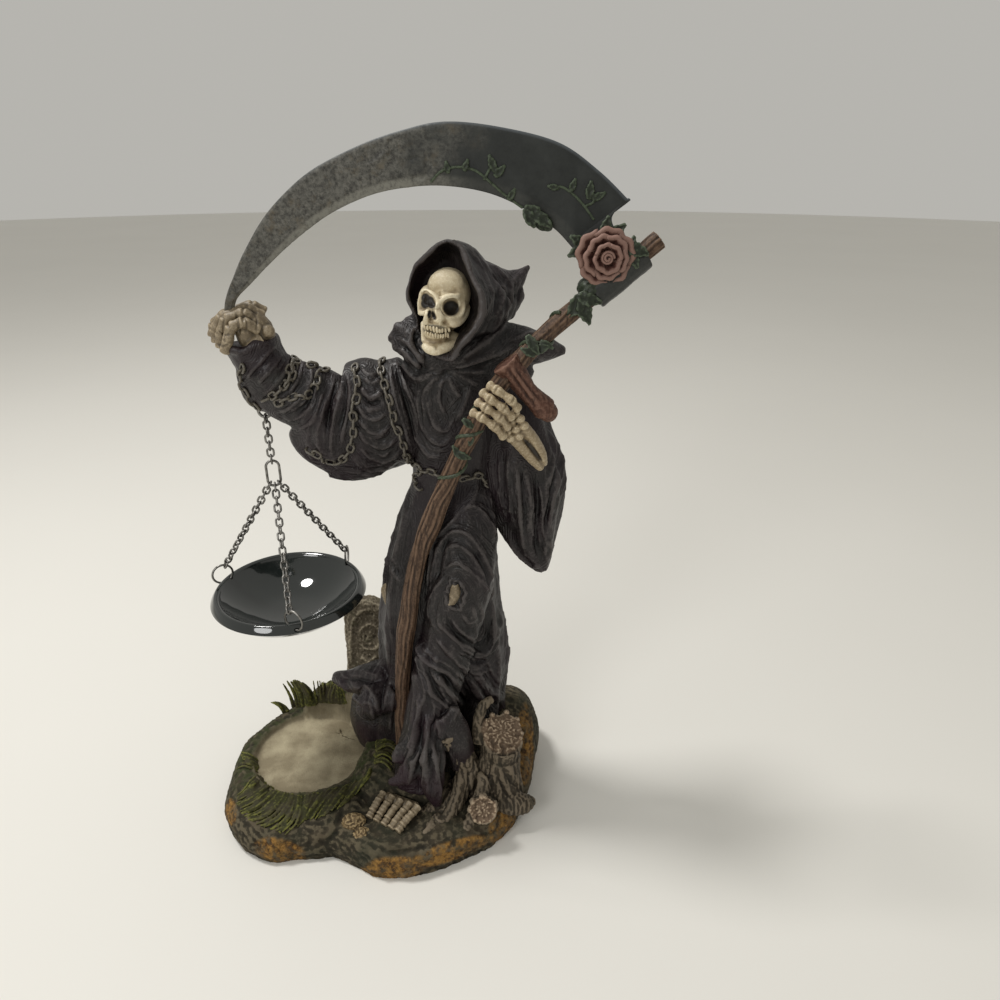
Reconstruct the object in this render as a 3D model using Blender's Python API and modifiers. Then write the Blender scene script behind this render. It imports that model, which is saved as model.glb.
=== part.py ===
"""Grim reaper figurine with a hanging oil dish, a resin casting about 300 mm tall.

The figure's own points are in units of 1/300 of its height. What is fitted to it, such as the
dish, its rings, the chains, the blade and the tealight recess, has sizes of its own in metres.
+X is the viewer's right, +Y points away from the front and +Z is up. The origin is under the base.
"""

import math

import bmesh
import bpy
import numpy as np
from mathutils import Matrix, Vector

# Driving sizes, in metres
HEIGHT = 0.300
DISH_RADIUS = 0.034
DISH_DEPTH = 0.0160
DISH_WALL = 0.0024
DISH_LIP = 0.0047
DISH_CLEARANCE = 0.0078
RING_RADIUS = 0.0045
RING_WIRE = 0.0010
RING_RISE = 0.0023
LINK_LENGTH = 0.0047
LINK_WIDTH = 0.0035
LINK_WIRE = 0.0009
HOOK_LENGTH = 0.0124
HOOK_WIDTH = 0.0064
HOOK_WIRE = 0.0011
EYE_RADIUS = 0.0026
EYE_WIRE = 0.0013
EYE_SHANK = 0.0060
RECESS_RADIUS = 0.0285
RECESS_DEPTH = 0.0035
SPINE_THICKNESS = 0.0028
EDGE_THICKNESS = 0.0009
COLLAR_WALL = 0.0018
STAFF_RADIUS = 0.0038
GAP = 0.0004

# Counts and angles
TOP_LINKS = 7
SIDE_LINKS = 18
RINGS = 3
FIRST_RING_ANGLE = math.radians(48)
RING_YAW = math.radians(45)
DRAPERY_TRIANGLES = 2100
SKULL_TRIANGLES = 390
HAND_TRIANGLES = 240
FOOT_TRIANGLES = 180
KNOT_TRIANGLES = 330
VOXEL = 0.0010

# Worked out from the sizes above
UNIT = HEIGHT / 300
TOUCH = 0.00008
LINK_PITCH = LINK_LENGTH - 2 * LINK_WIRE + TOUCH
RING_CENTRE = DISH_RADIUS - 0.3 * DISH_LIP
HOOK_TURN = FIRST_RING_ANGLE + math.pi / RINGS - math.pi / 2
ROBE_LEFT = 4.5
NOMINAL_HANG = -37.3
HANG_X = ROBE_LEFT * UNIT - DISH_CLEARANCE - DISH_RADIUS
REACH = (ROBE_LEFT * UNIT - HANG_X) / (ROBE_LEFT - NOMINAL_HANG)
HANG_Y = 1.0 * UNIT
EYE_Z = 192.6 * UNIT + EYE_RADIUS

COLOURS = {
    "resin": (0.05, 0.04, 0.045, 1),
    "blade": (0.06, 0.06, 0.055, 1),
    "glaze": (0.012, 0.016, 0.015, 1),
    "metal": (0.28, 0.28, 0.27, 1),
}


def at(x, y, z):
    """A point given in figure units, in metres. What is left of the robe stretches with the reach."""
    if x < ROBE_LEFT:
        x_m = ROBE_LEFT * UNIT + (x - ROBE_LEFT) * REACH
    else:
        x_m = x * UNIT
    return Vector((x_m, y * UNIT, z * UNIT))


def collection(name):
    made = bpy.data.collections.new(name)
    bpy.context.scene.collection.children.link(made)
    return made


def material(name, roughness, metallic):
    made = bpy.data.materials.new(name)
    made.use_nodes = True
    shader = made.node_tree.nodes["Principled BSDF"]
    shader.inputs["Base Color"].default_value = COLOURS[name]
    shader.inputs["Roughness"].default_value = roughness
    shader.inputs["Metallic"].default_value = metallic
    return made


def add_object(name, mesh, where, look=None):
    made = bpy.data.objects.new(name, mesh)
    where.objects.link(made)
    if look:
        made.data.materials.clear()
        made.data.materials.append(look)
    return made


def mesh_from(bm, name="form"):
    bmesh.ops.recalc_face_normals(bm, faces=bm.faces)
    mesh = bpy.data.meshes.new(name)
    bm.to_mesh(mesh)
    bm.free()
    return mesh


def evaluated(obj):
    """The object's mesh with its modifiers applied, in world space, welded and facing outwards."""
    graph = bpy.context.evaluated_depsgraph_get()
    mesh = bpy.data.meshes.new_from_object(obj.evaluated_get(graph))
    mesh.transform(obj.matrix_world)
    bm = bmesh.new()
    bm.from_mesh(mesh)
    bmesh.ops.remove_doubles(bm, verts=bm.verts, dist=0.000005)
    bmesh.ops.recalc_face_normals(bm, faces=bm.faces)
    bm.to_mesh(mesh)
    bm.free()
    return mesh


def take(obj):
    """The evaluated mesh of an object that isn't needed after it."""
    mesh = evaluated(obj)
    bpy.data.objects.remove(obj)
    return mesh


def tube(points, radii, sides=3):
    """A round tube through points in metres, with one radius for each point."""
    curve = bpy.data.curves.new("tube", "CURVE")
    curve.dimensions = "3D"
    curve.bevel_depth = 1.0
    curve.bevel_resolution = sides
    curve.resolution_u = 2
    curve.use_fill_caps = True
    spline = curve.splines.new("NURBS")
    spline.points.add(len(points) - 1)
    for place, point, radius in zip(spline.points, points, radii):
        place.co = (*point, 1)
        place.radius = radius
    spline.order_u = 3
    spline.use_endpoint_u = True
    return take(add_object("tube", curve, bpy.context.scene.collection))


def blob(centre, radii, turn=0.0, tilt=0.0):
    """An ellipsoid, centre and radii in figure units, turned about Z and then tilted about Y."""
    bm = bmesh.new()
    size = Matrix.Diagonal((*[r * UNIT for r in radii], 1))
    pose = Matrix.Translation(at(*centre)) @ Matrix.Rotation(math.radians(turn), 4, "Z")
    pose = pose @ Matrix.Rotation(math.radians(tilt), 4, "Y") @ size
    bmesh.ops.create_icosphere(bm, subdivisions=3, radius=1, matrix=pose)
    return mesh_from(bm)


def limb(points, radii, sides=3):
    """A tube with points and radii in figure units."""
    return tube([at(*p) for p in points], [r * UNIT for r in radii], sides)


def loft(loops):
    """A closed skin over loops of equal length, with flat ends."""
    bm = bmesh.new()
    rows = [[bm.verts.new(p) for p in loop] for loop in loops]
    count = len(rows[0])
    for low, high in zip(rows, rows[1:]):
        for i in range(count):
            j = (i + 1) % count
            bm.faces.new((low[i], low[j], high[j], high[i]))
    bm.faces.new(rows[0][::-1])
    bm.faces.new(rows[-1])
    return mesh_from(bm)


def smooth_row(rows, share):
    """A row of numbers read from a smooth curve through the rows, at a share of their count."""
    place = share * (len(rows) - 1)
    i = min(int(place), len(rows) - 2)
    t = place - i
    before, low, high, after = (
        np.array(rows[min(max(k, 0), len(rows) - 1)], float) for k in (i - 1, i, i + 1, i + 2)
    )
    return (
        low
        + 0.5 * t * (high - before)
        + t * t * (before - 2.5 * low + 2 * high - 0.5 * after)
        + t * t * t * (1.5 * (low - high) + 0.5 * (after - before))
    )


# The robe's body: height, centre x and y, half width, half depth and how deep its folds are
ROBE = [
    (8, 25, 10, 37, 19, 0.09),
    (24, 25, 9, 35, 18, 0.11),
    (40, 26, 8, 33, 17, 0.13),
    (54, 28, 7, 32, 17, 0.13),
    (68, 31, 5, 30, 17, 0.12),
    (86, 31, 3, 29, 17, 0.10),
    (105, 31, 1, 26.8, 17.5, 0.09),
    (126, 32.2, 1, 24.2, 18, 0.08),
    (146, 35, 1, 21.2, 16, 0.07),
    (165, 39, 1, 18, 13.5, 0.05),
    (177, 40, 1, 18, 13.5, 0.04),
    (191, 41, 1, 20, 14.5, 0.05),
    (205, 41, 1, 21.5, 15, 0.04),
    (216, 41, 1, 20.5, 14, 0.03),
    (225, 41, 2, 15, 12.5, 0.03),
    (233, 41, 3, 9, 9, 0.02),
]
# Each fold of the robe: its angle at the waist, its angle at the hem, and its share of the depth
FOLDS = [
    (-178, -172, 0.9),
    (-150, -140, 0.8),
    (-118, -112, 0.9),
    (-92, -84, 0.5),
    (-62, -58, 0.8),
    (-30, -28, 0.8),
    (2, 6, 0.9),
    (36, 40, 0.8),
    (68, 66, 1.0),
    (96, 100, 0.8),
    (128, 132, 1.0),
    (156, 160, 0.8),
]


def fold_height(angle, share):
    """How far folds push a body out at an angle in degrees, at a share of the way up."""
    height = 0.0
    for top, hem, depth in FOLDS:
        middle = hem + (top - hem) * share
        away = (angle - middle + 180) % 360 - 180
        height += depth * math.exp(-((away / 9.0) ** 2))
    return height - 0.45


def robe_body(around=96, up=60):
    loops = []
    for k in range(up + 1):
        share = k / up
        z, cx, cy, half_x, half_y, depth = smooth_row(ROBE, share)
        loop = []
        for i in range(around):
            angle = 2 * math.pi * i / around
            out = 1 + depth * fold_height(math.degrees(angle), share)
            loop.append(at(cx + half_x * out * math.cos(angle), cy + half_y * out * math.sin(angle), z))
        loops.append(loop)
    return loft(loops)


# The sleeve that reaches out: centre, half height in its plane, half depth, and the way it runs
REACHING_SLEEVE = [
    (27, 3, 202, 17, 13),
    (16, 2, 195, 22.5, 14),
    (3, 2, 191.5, 24.5, 14),
    (-9.8, 2, 192, 21.5, 13.5),
    (-17.8, 1, 199.6, 15.2, 12.5),
    (-27.6, 0, 205, 12.6, 11.5),
    (-33.5, -2, 212, 11, 10.5),
    (-36, -3, 219, 10, 10),
    (-37.2, -3.6, 224.5, 10.4, 10.4),
]


def reaching_sleeve(around=48, along=40):
    """A sleeve whose sections stand square to its path, with folds that hang below it."""
    rows = [smooth_row(REACHING_SLEEVE, k / along) for k in range(along + 1)]
    loops = []
    for k, row in enumerate(rows):
        before, after = rows[max(k - 1, 0)], rows[min(k + 1, along)]
        way = Vector((after[0] - before[0], 0, after[2] - before[2])).normalized()
        up = Vector((-way.z, 0, way.x))
        if up.z < 0:
            up = -up
        loop = []
        for i in range(around):
            angle = 2 * math.pi * i / around
            low = max(0.0, -math.sin(angle))
            fold = 1 + 0.05 * low * math.sin(0.55 * k) + 0.03 * math.sin(5 * angle + 0.25 * k)
            side = row[4] * math.cos(angle) * fold * (1 - 0.25 * low)
            rise = row[3] * math.sin(angle) * fold
            loop.append(at(row[0] + up.x * rise, row[1] + side, row[2] + up.z * rise))
        loops.append(loop)
    return loft(loops)


# The sleeve that hangs: height, left and right edge, centre y and half depth
HANGING_SLEEVE = [
    (216, 50, 66, 2, 9),
    (207, 50, 71, 2, 11),
    (196, 50, 76, 1, 12),
    (184, 50, 80, 0, 12.5),
    (172, 50, 84, 0, 12.5),
    (160, 51, 85, 0, 11.5),
    (148, 54, 84, 1, 10),
    (138, 59, 82.5, 2, 8.5),
    (129, 66, 81, 2, 6.5),
    (121, 73.5, 79.5, 2, 3.5),
]


def hanging_sleeve(around=48, down=40):
    loops = []
    for k in range(down + 1):
        z, left, right, cy, half_y = smooth_row(HANGING_SLEEVE, k / down)
        loop = []
        for i in range(around):
            angle = 2 * math.pi * i / around
            fold = 1 + 0.07 * math.sin(7 * angle + 0.6) * min(1.0, k / 12)
            x = (left + right) / 2 + (right - left) / 2 * math.cos(angle) * fold
            loop.append(at(x, cy + half_y * math.sin(angle) * fold, z))
        loops.append(loop)
    return loft(loops)


STAFF = [
    (11.5, -6, 24),
    (11.8, -7.5, 41),
    (12.8, -10, 62.5),
    (15.3, -14.5, 89.3),
    (18.9, -17.5, 111.8),
    (24.1, -19, 137.3),
    (30.7, -20, 156.2),
    (37.3, -21, 172.5),
    (46.7, -23, 193.9),
    (58, -23, 213.2),
    (74.3, -19, 230.4),
    (90.3, -15, 243.1),
    (102, -13.2, 252.6),
    (114, -11.6, 262.4),
]
STAFF_THICKNESS = [1.15, 1.1, 1.0, 0.98, 1.05, 1.0, 1.08, 1.0, 1.0, 0.95, 0.95, 0.9, 0.9, 0.95]


def staff():
    points = [at(*p) for p in STAFF]
    return tube(points, [STAFF_RADIUS * share for share in STAFF_THICKNESS], sides=1)


# The base's outline, anticlockwise from its left end, in figure units
OUTLINE = [
    (-75.5, -8),
    (-73, -28),
    (-61.5, -45),
    (-46.5, -52.5),
    (-32, -51.5),
    (-18, -50.5),
    (-7, -55),
    (6, -61),
    (22, -60),
    (40, -53),
    (56, -43),
    (66.5, -30),
    (72.5, -12),
    (76, 8),
    (73.5, 28),
    (65, 44),
    (48, 56),
    (28, 62),
    (6, 63),
    (-16, 62),
    (-36, 55),
    (-54, 42),
    (-68, 26),
    (-76, 9),
]
BASE_TOP = 16.5
BASE_BULGE = [(-4, 0.98), (1, 0.985), (5, 1.0), (9, 0.99), (12.5, 0.965), (15, 0.91), (16, 0.8), (BASE_TOP, 0.6)]


def base_plate():
    """The base's skin: its outline swept up the rounded rim, and closed over the top."""
    loops = []
    for z, share in BASE_BULGE:
        loops.append([at(x * share, y * share, z) for x, y in outline_points(72)])
    return loft(loops)


def outline_points(count):
    """The outline read as a closed smooth curve."""
    closed = OUTLINE[-1:] + OUTLINE + OUTLINE[:2]
    made = []
    for k in range(count):
        share = (1 + k / count * len(OUTLINE)) / (len(closed) - 1)
        made.append(tuple(smooth_row(closed, share)))
    return made


MOUNDS = [
    ((24, 2, 12), (44, 36, 16)),
    ((62, 14, 16), (16, 24, 23)),
    ((54, -8, 12), (20, 24, 15)),
    ((-26, 34, 13), (24, 20, 15)),
    ((-14, 22, 18), (17, 11, 17)),
    ((-3, 11, 30), (15, 13, 24)),
    ((4, -12, 14), (18, 22, 12)),
    ((22, -24, 12), (17, 11, 17)),
    ((16, -20, 24), (11, 9, 22)),
    ((-8, -44, 12), (5.5, 4.5, 5)),
    ((-2, -48, 11), (4, 4, 3.5)),
]


def tombstone():
    """A leaning slab with a broken round head, beside the robe's hem."""
    profile = [(-13.5, 8), (-12.5, 30), (-13, 50), (-12, 56), (-7, 60.5), (2, 61), (10, 58), (12, 48), (13, 8)]
    loops = []
    for y, share in ((-4.5, 0.94), (-3.5, 1.0), (3.5, 1.0), (4.5, 0.94)):
        loops.append([(x * share, y, 8 + (z - 8) * (1 + share) / 2) for x, z in profile])
    lean = Matrix.Rotation(math.radians(-6), 3, "X") @ Matrix.Rotation(math.radians(-10), 3, "Z")
    placed = []
    for loop in loops:
        placed.append([at(*(lean @ Vector(p) + Vector((-13, 46, 13)))) for p in loop])
    return loft(placed)


def stump():
    """A broken tree stump with a sawn top, spikes, roots and a cut branch."""
    wood = [
        limb([(56, -22, 8), (57, -22, 26), (59, -23, 38), (61, -24, 44)], [15, 11, 9.5, 11], 4),
        limb([(50, -18, 34), (52, -15, 48), (55, -12, 58)], [6, 3.2, 1.2]),
        limb([(46, -24, 12), (43, -26, 34), (40, -26, 47), (37.5, -26, 53)], [7, 4.8, 4.6, 3.6]),
        limb([(50, -32, 12), (50.5, -38, 17), (50.3, -42, 19)], [7, 6, 5.6], 4),
        limb([(44, -26, 30), (34, -38, 15), (27, -46, 12), (24, -56, 9)], [5, 4.5, 4, 3]),
        limb([(40, -28, 22), (30, -34, 16), (20, -40, 13)], [5, 4, 2.5]),
        limb([(58, -28, 14), (68, -30, 12), (73, -26, 10)], [8, 5, 2.5]),
    ]
    return wood


def skull():
    """The cranium, brow, cheeks, upper jaw and chin under the hood."""
    return [
        blob((38.2, -7, 244.2), (9.8, 11.5, 9.6)),
        blob((36.2, -14.6, 241.5), (8.4, 4.6, 3.4), turn=12),
        blob((29.6, -12.5, 237.2), (2.6, 5, 2.2)),
        blob((44.8, -11, 236.6), (2.8, 5.5, 2.3)),
        blob((35.8, -14.5, 234.5), (5.4, 5.6, 5)),
        blob((35.4, -14.8, 227.4), (5.8, 5.6, 4.0)),
        limb([(44.6, -7, 236), (43.5, -10, 229), (36, -16, 225)], [2.0, 2.2, 2.4]),
        limb([(30.2, -9, 236), (30, -12, 229), (35, -16, 225)], [1.8, 2.0, 2.4]),
        blob((36, -4, 230), (7, 9, 12)),
    ]


def socket_cutters():
    """Blobs that open the eye sockets and the nose of the skull."""
    return [
        blob((31.5, -18.6, 239.6), (3.2, 4.4, 3.1)),
        blob((40.4, -17.6, 239.2), (3.4, 4.6, 3.1)),
        blob((34.6, -20.6, 235.6), (1.6, 3, 2.3)),
    ]


def hood():
    """The hood's shell over the head, its peak at the back and the cape on the shoulders."""
    return [
        blob((40.4, 3.5, 240), (16.4, 17, 21.2)),
        limb([(48, 9, 243), (57, 14, 242.5), (64, 17, 244.5), (70, 18.5, 249.5)], [11, 8, 4.2, 1.0]),
        limb([(52, 10, 238), (60, 15, 236), (67, 17, 240)], [11, 7, 2.2]),
        blob((40, -1, 221), (21, 15, 9.5)),
        limb([(30, 0, 222), (22, -2, 227), (18.5, -2, 229)], [8, 5.5, 3.2]),
        limb([(46, 0, 220), (62, 3, 221), (74, 4, 220), (84, 4, 219)], [10, 9, 6, 1.5]),
        limb([(52, 2, 216), (64, 3, 213), (71, 4, 209)], [8, 6, 2]),
    ]


def hood_opening():
    """The hollow in front of the hood, where the skull shows."""
    return [
        blob((36.6, -11, 239.5), (11.6, 14, 17), turn=10),
        blob((35, -20, 236), (11.5, 9, 15), turn=10),
    ]


# Tip, middle joint and knuckle of each finger on the staff
GRIP_FINGERS = [
    ((56, -29, 220.5), (60.5, -31.5, 216.5), (65.5, -29, 210)),
    ((52.6, -29.5, 216.5), (57.5, -32, 212.5), (62.5, -30, 206.5)),
    ((49.8, -29.5, 211.5), (55, -32, 208.5), (60.5, -30, 203)),
    ((48, -28.5, 206), (52.5, -31, 203.5), (58.5, -29.5, 199)),
]


def gripping_hand():
    """The hand on the staff: four fingers, the hand's back and two bones of the forearm."""
    bones = [limb(finger, [1.7, 2.0, 2.2]) for finger in GRIP_FINGERS]
    bones.append(blob((63.5, -26.5, 201.5), (5, 4.5, 6.5), tilt=-38))
    bones.append(limb([(62.5, -26, 198), (67.5, -22, 188.5), (73.5, -15, 178)], [2.6, 2.8, 2.2]))
    bones.append(limb([(66.5, -24, 199.5), (71, -19.5, 190), (74.5, -14, 179)], [2.4, 2.4, 2.0]))
    return bones


def reaching_hand():
    """The hand above the cuff, with its fingers drooping over the end of the blade."""
    bones = [
        limb([(-36.5, -3.5, 218), (-35.5, -4, 226), (-35, -4, 231)], [5, 5.5, 5.5]),
        blob((-35.2, -4, 231), (6.6, 6.4, 6), tilt=25),
    ]
    for y, reach in ((-9.5, 0.0), (-6.3, 1.3), (-3.1, 1.6), (0.1, 0.6)):
        start, knuckle = (-37, y * 0.8, 233.5), (-44 - reach, y - 0.5, 230.5)
        middle, tip = (-48.8 - reach, y - 1, 225.5), (-46.6 - reach / 2, y - 0.8, 219.2)
        bones.append(limb([start, knuckle, middle, tip], [2.4, 2.1, 2.0, 1.3]))
    return bones


def foot():
    """Five toes of bare bone in front of the hem."""
    bones = []
    for k in range(5):
        heel = Vector((7.5 + 3.5 * k, -27.5 - 1.2 * k, 21))
        toe = Vector((-3.5 + 3.7 * k, -38.5 - 2.0 * k, 17))
        middle = (heel + toe) / 2 + Vector((0, 0, 1.4))
        bones.append(limb([heel, middle, toe], [1.7, 1.7, 1.5]))
    bones.append(limb([(4, -32, 17.5), (12, -36.5, 17)], [2.6, 2.6]))
    return bones


def grass():
    """Tufts that lean out all round the tealight recess."""
    tufts = []
    count = 34
    ring = RECESS_RADIUS / UNIT + 2.6
    for k in range(count):
        angle = 2 * math.pi * k / count
        lift = 3.2 + 3.6 * max(0.0, math.cos(angle - math.radians(125))) + 0.9 * math.sin(5 * angle)
        way = Vector((math.cos(angle + 0.35), math.sin(angle + 0.35), 0))
        foot_point = Vector((NOMINAL_HANG + ring * math.cos(angle), 1 + ring * math.sin(angle), 12))
        tip = foot_point + way * 3.2 + Vector((0, 0, 2 + lift))
        tufts.append(limb([foot_point, (foot_point + tip) / 2 + Vector((0, 0, 1.5)), tip], [3, 2.6, 0.9]))
    tufts.append(blob((-55, 33, 20), (8, 4, 9), turn=25))
    tufts.append(blob((-66, 19, 17), (6, 4, 8), turn=50))
    tufts.append(blob((-38, 36, 19), (8, 4, 9), turn=10))
    return tufts


def knots():
    """The peg grip of the staff, with its bulb."""
    return [limb([(59, -23, 214), (65, -23.5, 214), (70, -23, 208), (75.5, -22, 204)], [4.2, 3.6, 3.6, 4.6], 4)]


def knee():
    """The thigh, knee and shin that press the robe forward."""
    return [
        limb([(44, 0, 162), (43, -9, 142), (41.5, -13, 124), (34, -14, 90), (24, -18, 50), (20, -22, 20)],
             [13, 13.5, 13.5, 12, 11, 13], 4),
    ]


def joined(meshes, name):
    """One object that holds several closed meshes."""
    bm = bmesh.new()
    for mesh in meshes:
        bm.from_mesh(mesh)
    whole = mesh_from(bm, name)
    return add_object(name, whole, bpy.context.scene.collection)


def remeshed(meshes, voxel):
    """The meshes grown together into one skin."""
    obj = joined(meshes, "forms")
    grown = obj.modifiers.new("Grow", "REMESH")
    grown.mode = "VOXEL"
    grown.voxel_size = voxel
    return take(obj)


def fewer_faces(mesh, triangles):
    """The mesh, softened and thinned to about this many triangles."""
    obj = add_object("skin", mesh, bpy.context.scene.collection)
    soften = obj.modifiers.new("Soften", "SMOOTH")
    soften.factor = 0.5
    soften.iterations = 2
    fewer = obj.modifiers.new("Fewer", "DECIMATE")
    fewer.ratio = triangles / (2 * len(mesh.polygons))
    return take(obj)


def cut_away(mesh, cutters):
    """The mesh less each cutter."""
    obj = add_object("cut", mesh, bpy.context.scene.collection)
    helpers = []
    for cutter in cutters:
        helper = add_object("cutter", cutter, bpy.context.scene.collection)
        helper.hide_render = True
        cut = obj.modifiers.new("Cut", "BOOLEAN")
        cut.operation = "DIFFERENCE"
        cut.solver = "EXACT"
        cut.object = helper
        helpers.append(helper)
    result = take(obj)
    for helper in helpers:
        bpy.data.objects.remove(helper)
    return result


def united(meshes):
    """The meshes joined by exact Booleans."""
    obj = add_object("union", meshes[0], bpy.context.scene.collection)
    helpers = []
    for mesh in meshes[1:]:
        helper = add_object("joiner", mesh, bpy.context.scene.collection)
        join = obj.modifiers.new("Join", "BOOLEAN")
        join.operation = "UNION"
        join.solver = "EXACT"
        join.object = helper
        helpers.append(helper)
    result = take(obj)
    for helper in helpers:
        bpy.data.objects.remove(helper)
    return result


# Folds seen from the front, as points in x and z, with a width and a height in figure units
FRONT_FOLDS = [
    ([(36, 217), (30, 214), (25, 207), (23, 198)], 1.8, 1.6),
    ([(36, 216), (31, 209), (30, 198), (33, 186), (37, 180)], 1.6, 1.6),
    ([(38, 216), (41, 206), (44, 200), (47, 197)], 1.4, 1.3),
    ([(37, 215), (36, 203), (38, 190), (40, 182)], 1.6, -1.2),
    ([(24, 208), (25, 194), (30, 182), (34, 177)], 1.8, 1.4),
    ([(38, 152), (32, 146), (28, 136), (26, 122), (26, 106), (30, 92)], 2.0, 1.9),
    ([(38, 152), (46, 146), (53, 134), (56, 118), (54, 104), (48, 95), (38, 92)], 2.0, 1.8),
    ([(30, 132), (38, 138), (47, 134), (52, 124), (50, 112)], 1.6, 1.4),
    ([(31, 118), (35, 106), (42, 99), (50, 98)], 1.6, 1.3),
    ([(26, 100), (29, 88), (36, 78), (40, 74)], 1.7, 1.7),
    ([(25, 96), (26, 80), (32, 66), (40, 52), (44, 42)], 1.8, 1.9),
    ([(24, 86), (24, 68), (25, 52), (22, 38), (14, 30)], 2.0, 1.8),
    ([(50, 94), (56, 80), (58, 66), (54, 54)], 2.0, 1.6),
    ([(40, 84), (46, 70), (52, 58)], 1.8, -1.5),
    ([(12, 142), (10, 126), (14, 112)], 1.8, 1.6),
    ([(8, 120), (8, 100), (6, 78), (0, 58)], 2.0, 1.6),
    ([(-16, 186), (-12, 178), (-2, 173), (8, 176), (14, 186)], 1.8, 1.6),
    ([(-18, 196), (-12, 186), (0, 182), (10, 188)], 1.6, 1.4),
    ([(-30, 200), (-26, 193), (-18, 188)], 1.5, 1.2),
    ([(-36, 205), (-32, 199), (-24, 197)], 1.4, 1.0),
    ([(-4, 208), (-6, 198), (-6, 188)], 1.6, -1.2),
    ([(64, 190), (68, 172), (70, 152), (73, 134)], 1.8, 1.3),
    ([(78, 186), (80, 168), (78, 150), (77, 132)], 1.7, 1.5),
    ([(58, 186), (60, 168), (64, 150)], 1.8, -1.2),
    ([(52, 254), (54, 244), (52, 232), (46, 222)], 1.5, 1.2),
    ([(57, 246), (57, 236), (54, 226)], 1.3, 1.0),
]


def fold_lift(points, normals):
    """How far each point of the skin moves out for the folds seen from the front."""
    lift = np.zeros(len(points))
    front = np.clip(-normals[:, 1] * 2.0 + 0.3, 0, 1)
    flat = points[:, [0, 2]]
    for path, width, height in FRONT_FOLDS:
        nodes = np.array([[at(x, 0, z)[0], at(x, 0, z)[2]] for x, z in path])
        lift += front * stroke(flat, nodes, width * UNIT) * height * UNIT
    return lift


def stroke(flat, nodes, width):
    """A soft ridge along a path in a plane, fading at both ends."""
    closest = np.full(len(flat), 1e9)
    along = np.zeros(len(flat))
    lengths = np.linalg.norm(np.diff(nodes, axis=0), axis=1)
    starts = np.concatenate([[0], np.cumsum(lengths)])
    for k, length in enumerate(lengths):
        way = (nodes[k + 1] - nodes[k]) / length
        t = np.clip((flat - nodes[k]) @ way, 0, length)
        away = np.linalg.norm(flat - nodes[k] - t[:, None] * way, axis=1)
        nearer = away < closest
        closest = np.where(nearer, away, closest)
        along = np.where(nearer, starts[k] + t, along)
    share = along / starts[-1]
    fade = np.clip(np.minimum(share, 1 - share) * 5, 0.15, 1)
    return np.exp(-((closest / width) ** 2)) * fade


def mesh_arrays(mesh):
    points = np.empty(len(mesh.vertices) * 3)
    mesh.vertices.foreach_get("co", points)
    normals = np.empty(len(mesh.vertices) * 3)
    mesh.vertices.foreach_get("normal", normals)
    return points.reshape(-1, 3), normals.reshape(-1, 3)


def cylinder(radius, low, high, centre, segments=40):
    bm = bmesh.new()
    place = Matrix.Translation(Vector((centre[0], centre[1], (low + high) / 2)))
    bmesh.ops.create_cone(
        bm, cap_ends=True, segments=segments, radius1=radius, radius2=radius, depth=high - low, matrix=place
    )
    return mesh_from(bm)


def slab(low, high):
    """A box between two corners."""
    bm = bmesh.new()
    low, high = Vector(low), Vector(high)
    bmesh.ops.create_cube(bm, size=1)
    size = high - low
    for vert in bm.verts:
        vert.co = Vector([low[i] + (vert.co[i] + 0.5) * size[i] for i in range(3)])
    return mesh_from(bm)


RECESS_FLOOR = BASE_TOP * UNIT - RECESS_DEPTH


def casting(where, look):
    """The figure with its base, staff, skull, hands, stump and tombstone: one cast piece."""
    robes = [robe_body(), reaching_sleeve(), hanging_sleeve()] + hood() + knee()
    head = remeshed(robes, VOXEL)
    head = cut_away(head, [remeshed(hood_opening(), VOXEL)])
    points, normals = mesh_arrays(head)
    points += normals * fold_lift(points, normals)[:, None]
    head.vertices.foreach_set("co", points.ravel())
    head_bones = cut_away(remeshed(skull(), VOXEL * 0.7), [remeshed(socket_cutters(), VOXEL * 0.7)])
    ground = [base_plate()] + [blob(*m) for m in MOUNDS] + stump() + grass()
    parts = [fewer_faces(remeshed([head] + ground, VOXEL), DRAPERY_TRIANGLES)]
    parts.append(fewer_faces(remeshed([head_bones], VOXEL * 0.7), SKULL_TRIANGLES))
    parts.append(fewer_faces(remeshed(gripping_hand() + knots(), VOXEL * 0.7), HAND_TRIANGLES))
    parts.append(fewer_faces(remeshed(reaching_hand(), VOXEL * 0.7), HAND_TRIANGLES))
    parts.append(fewer_faces(remeshed(foot(), VOXEL * 0.7), FOOT_TRIANGLES))
    skin = united(parts + [staff(), tombstone()])
    centre = (HANG_X, HANG_Y)
    cutters = [
        slab((-HEIGHT, -HEIGHT, -BASE_TOP * UNIT), (HEIGHT, HEIGHT, 0)),
        cylinder(RECESS_RADIUS, RECESS_FLOOR, RECESS_FLOOR + RECESS_RADIUS, centre),
        blade_plate(GAP, SPINE_THICKNESS + 2 * GAP, TIP_SECTIONS),
        cylinder(EYE_WIRE / 2 + GAP, EYE_Z + EYE_RADIUS - EYE_WIRE, EYE_Z + EYE_SHANK + GAP, centre, 10),
        cylinder(EYE_RADIUS + EYE_WIRE, EYE_Z - 2 * EYE_RADIUS, EYE_Z + EYE_RADIUS + EYE_WIRE, centre, 16),
    ]
    cut = cut_away(skin, cutters)
    return add_object("reaper_casting", cut, where, look)


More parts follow.
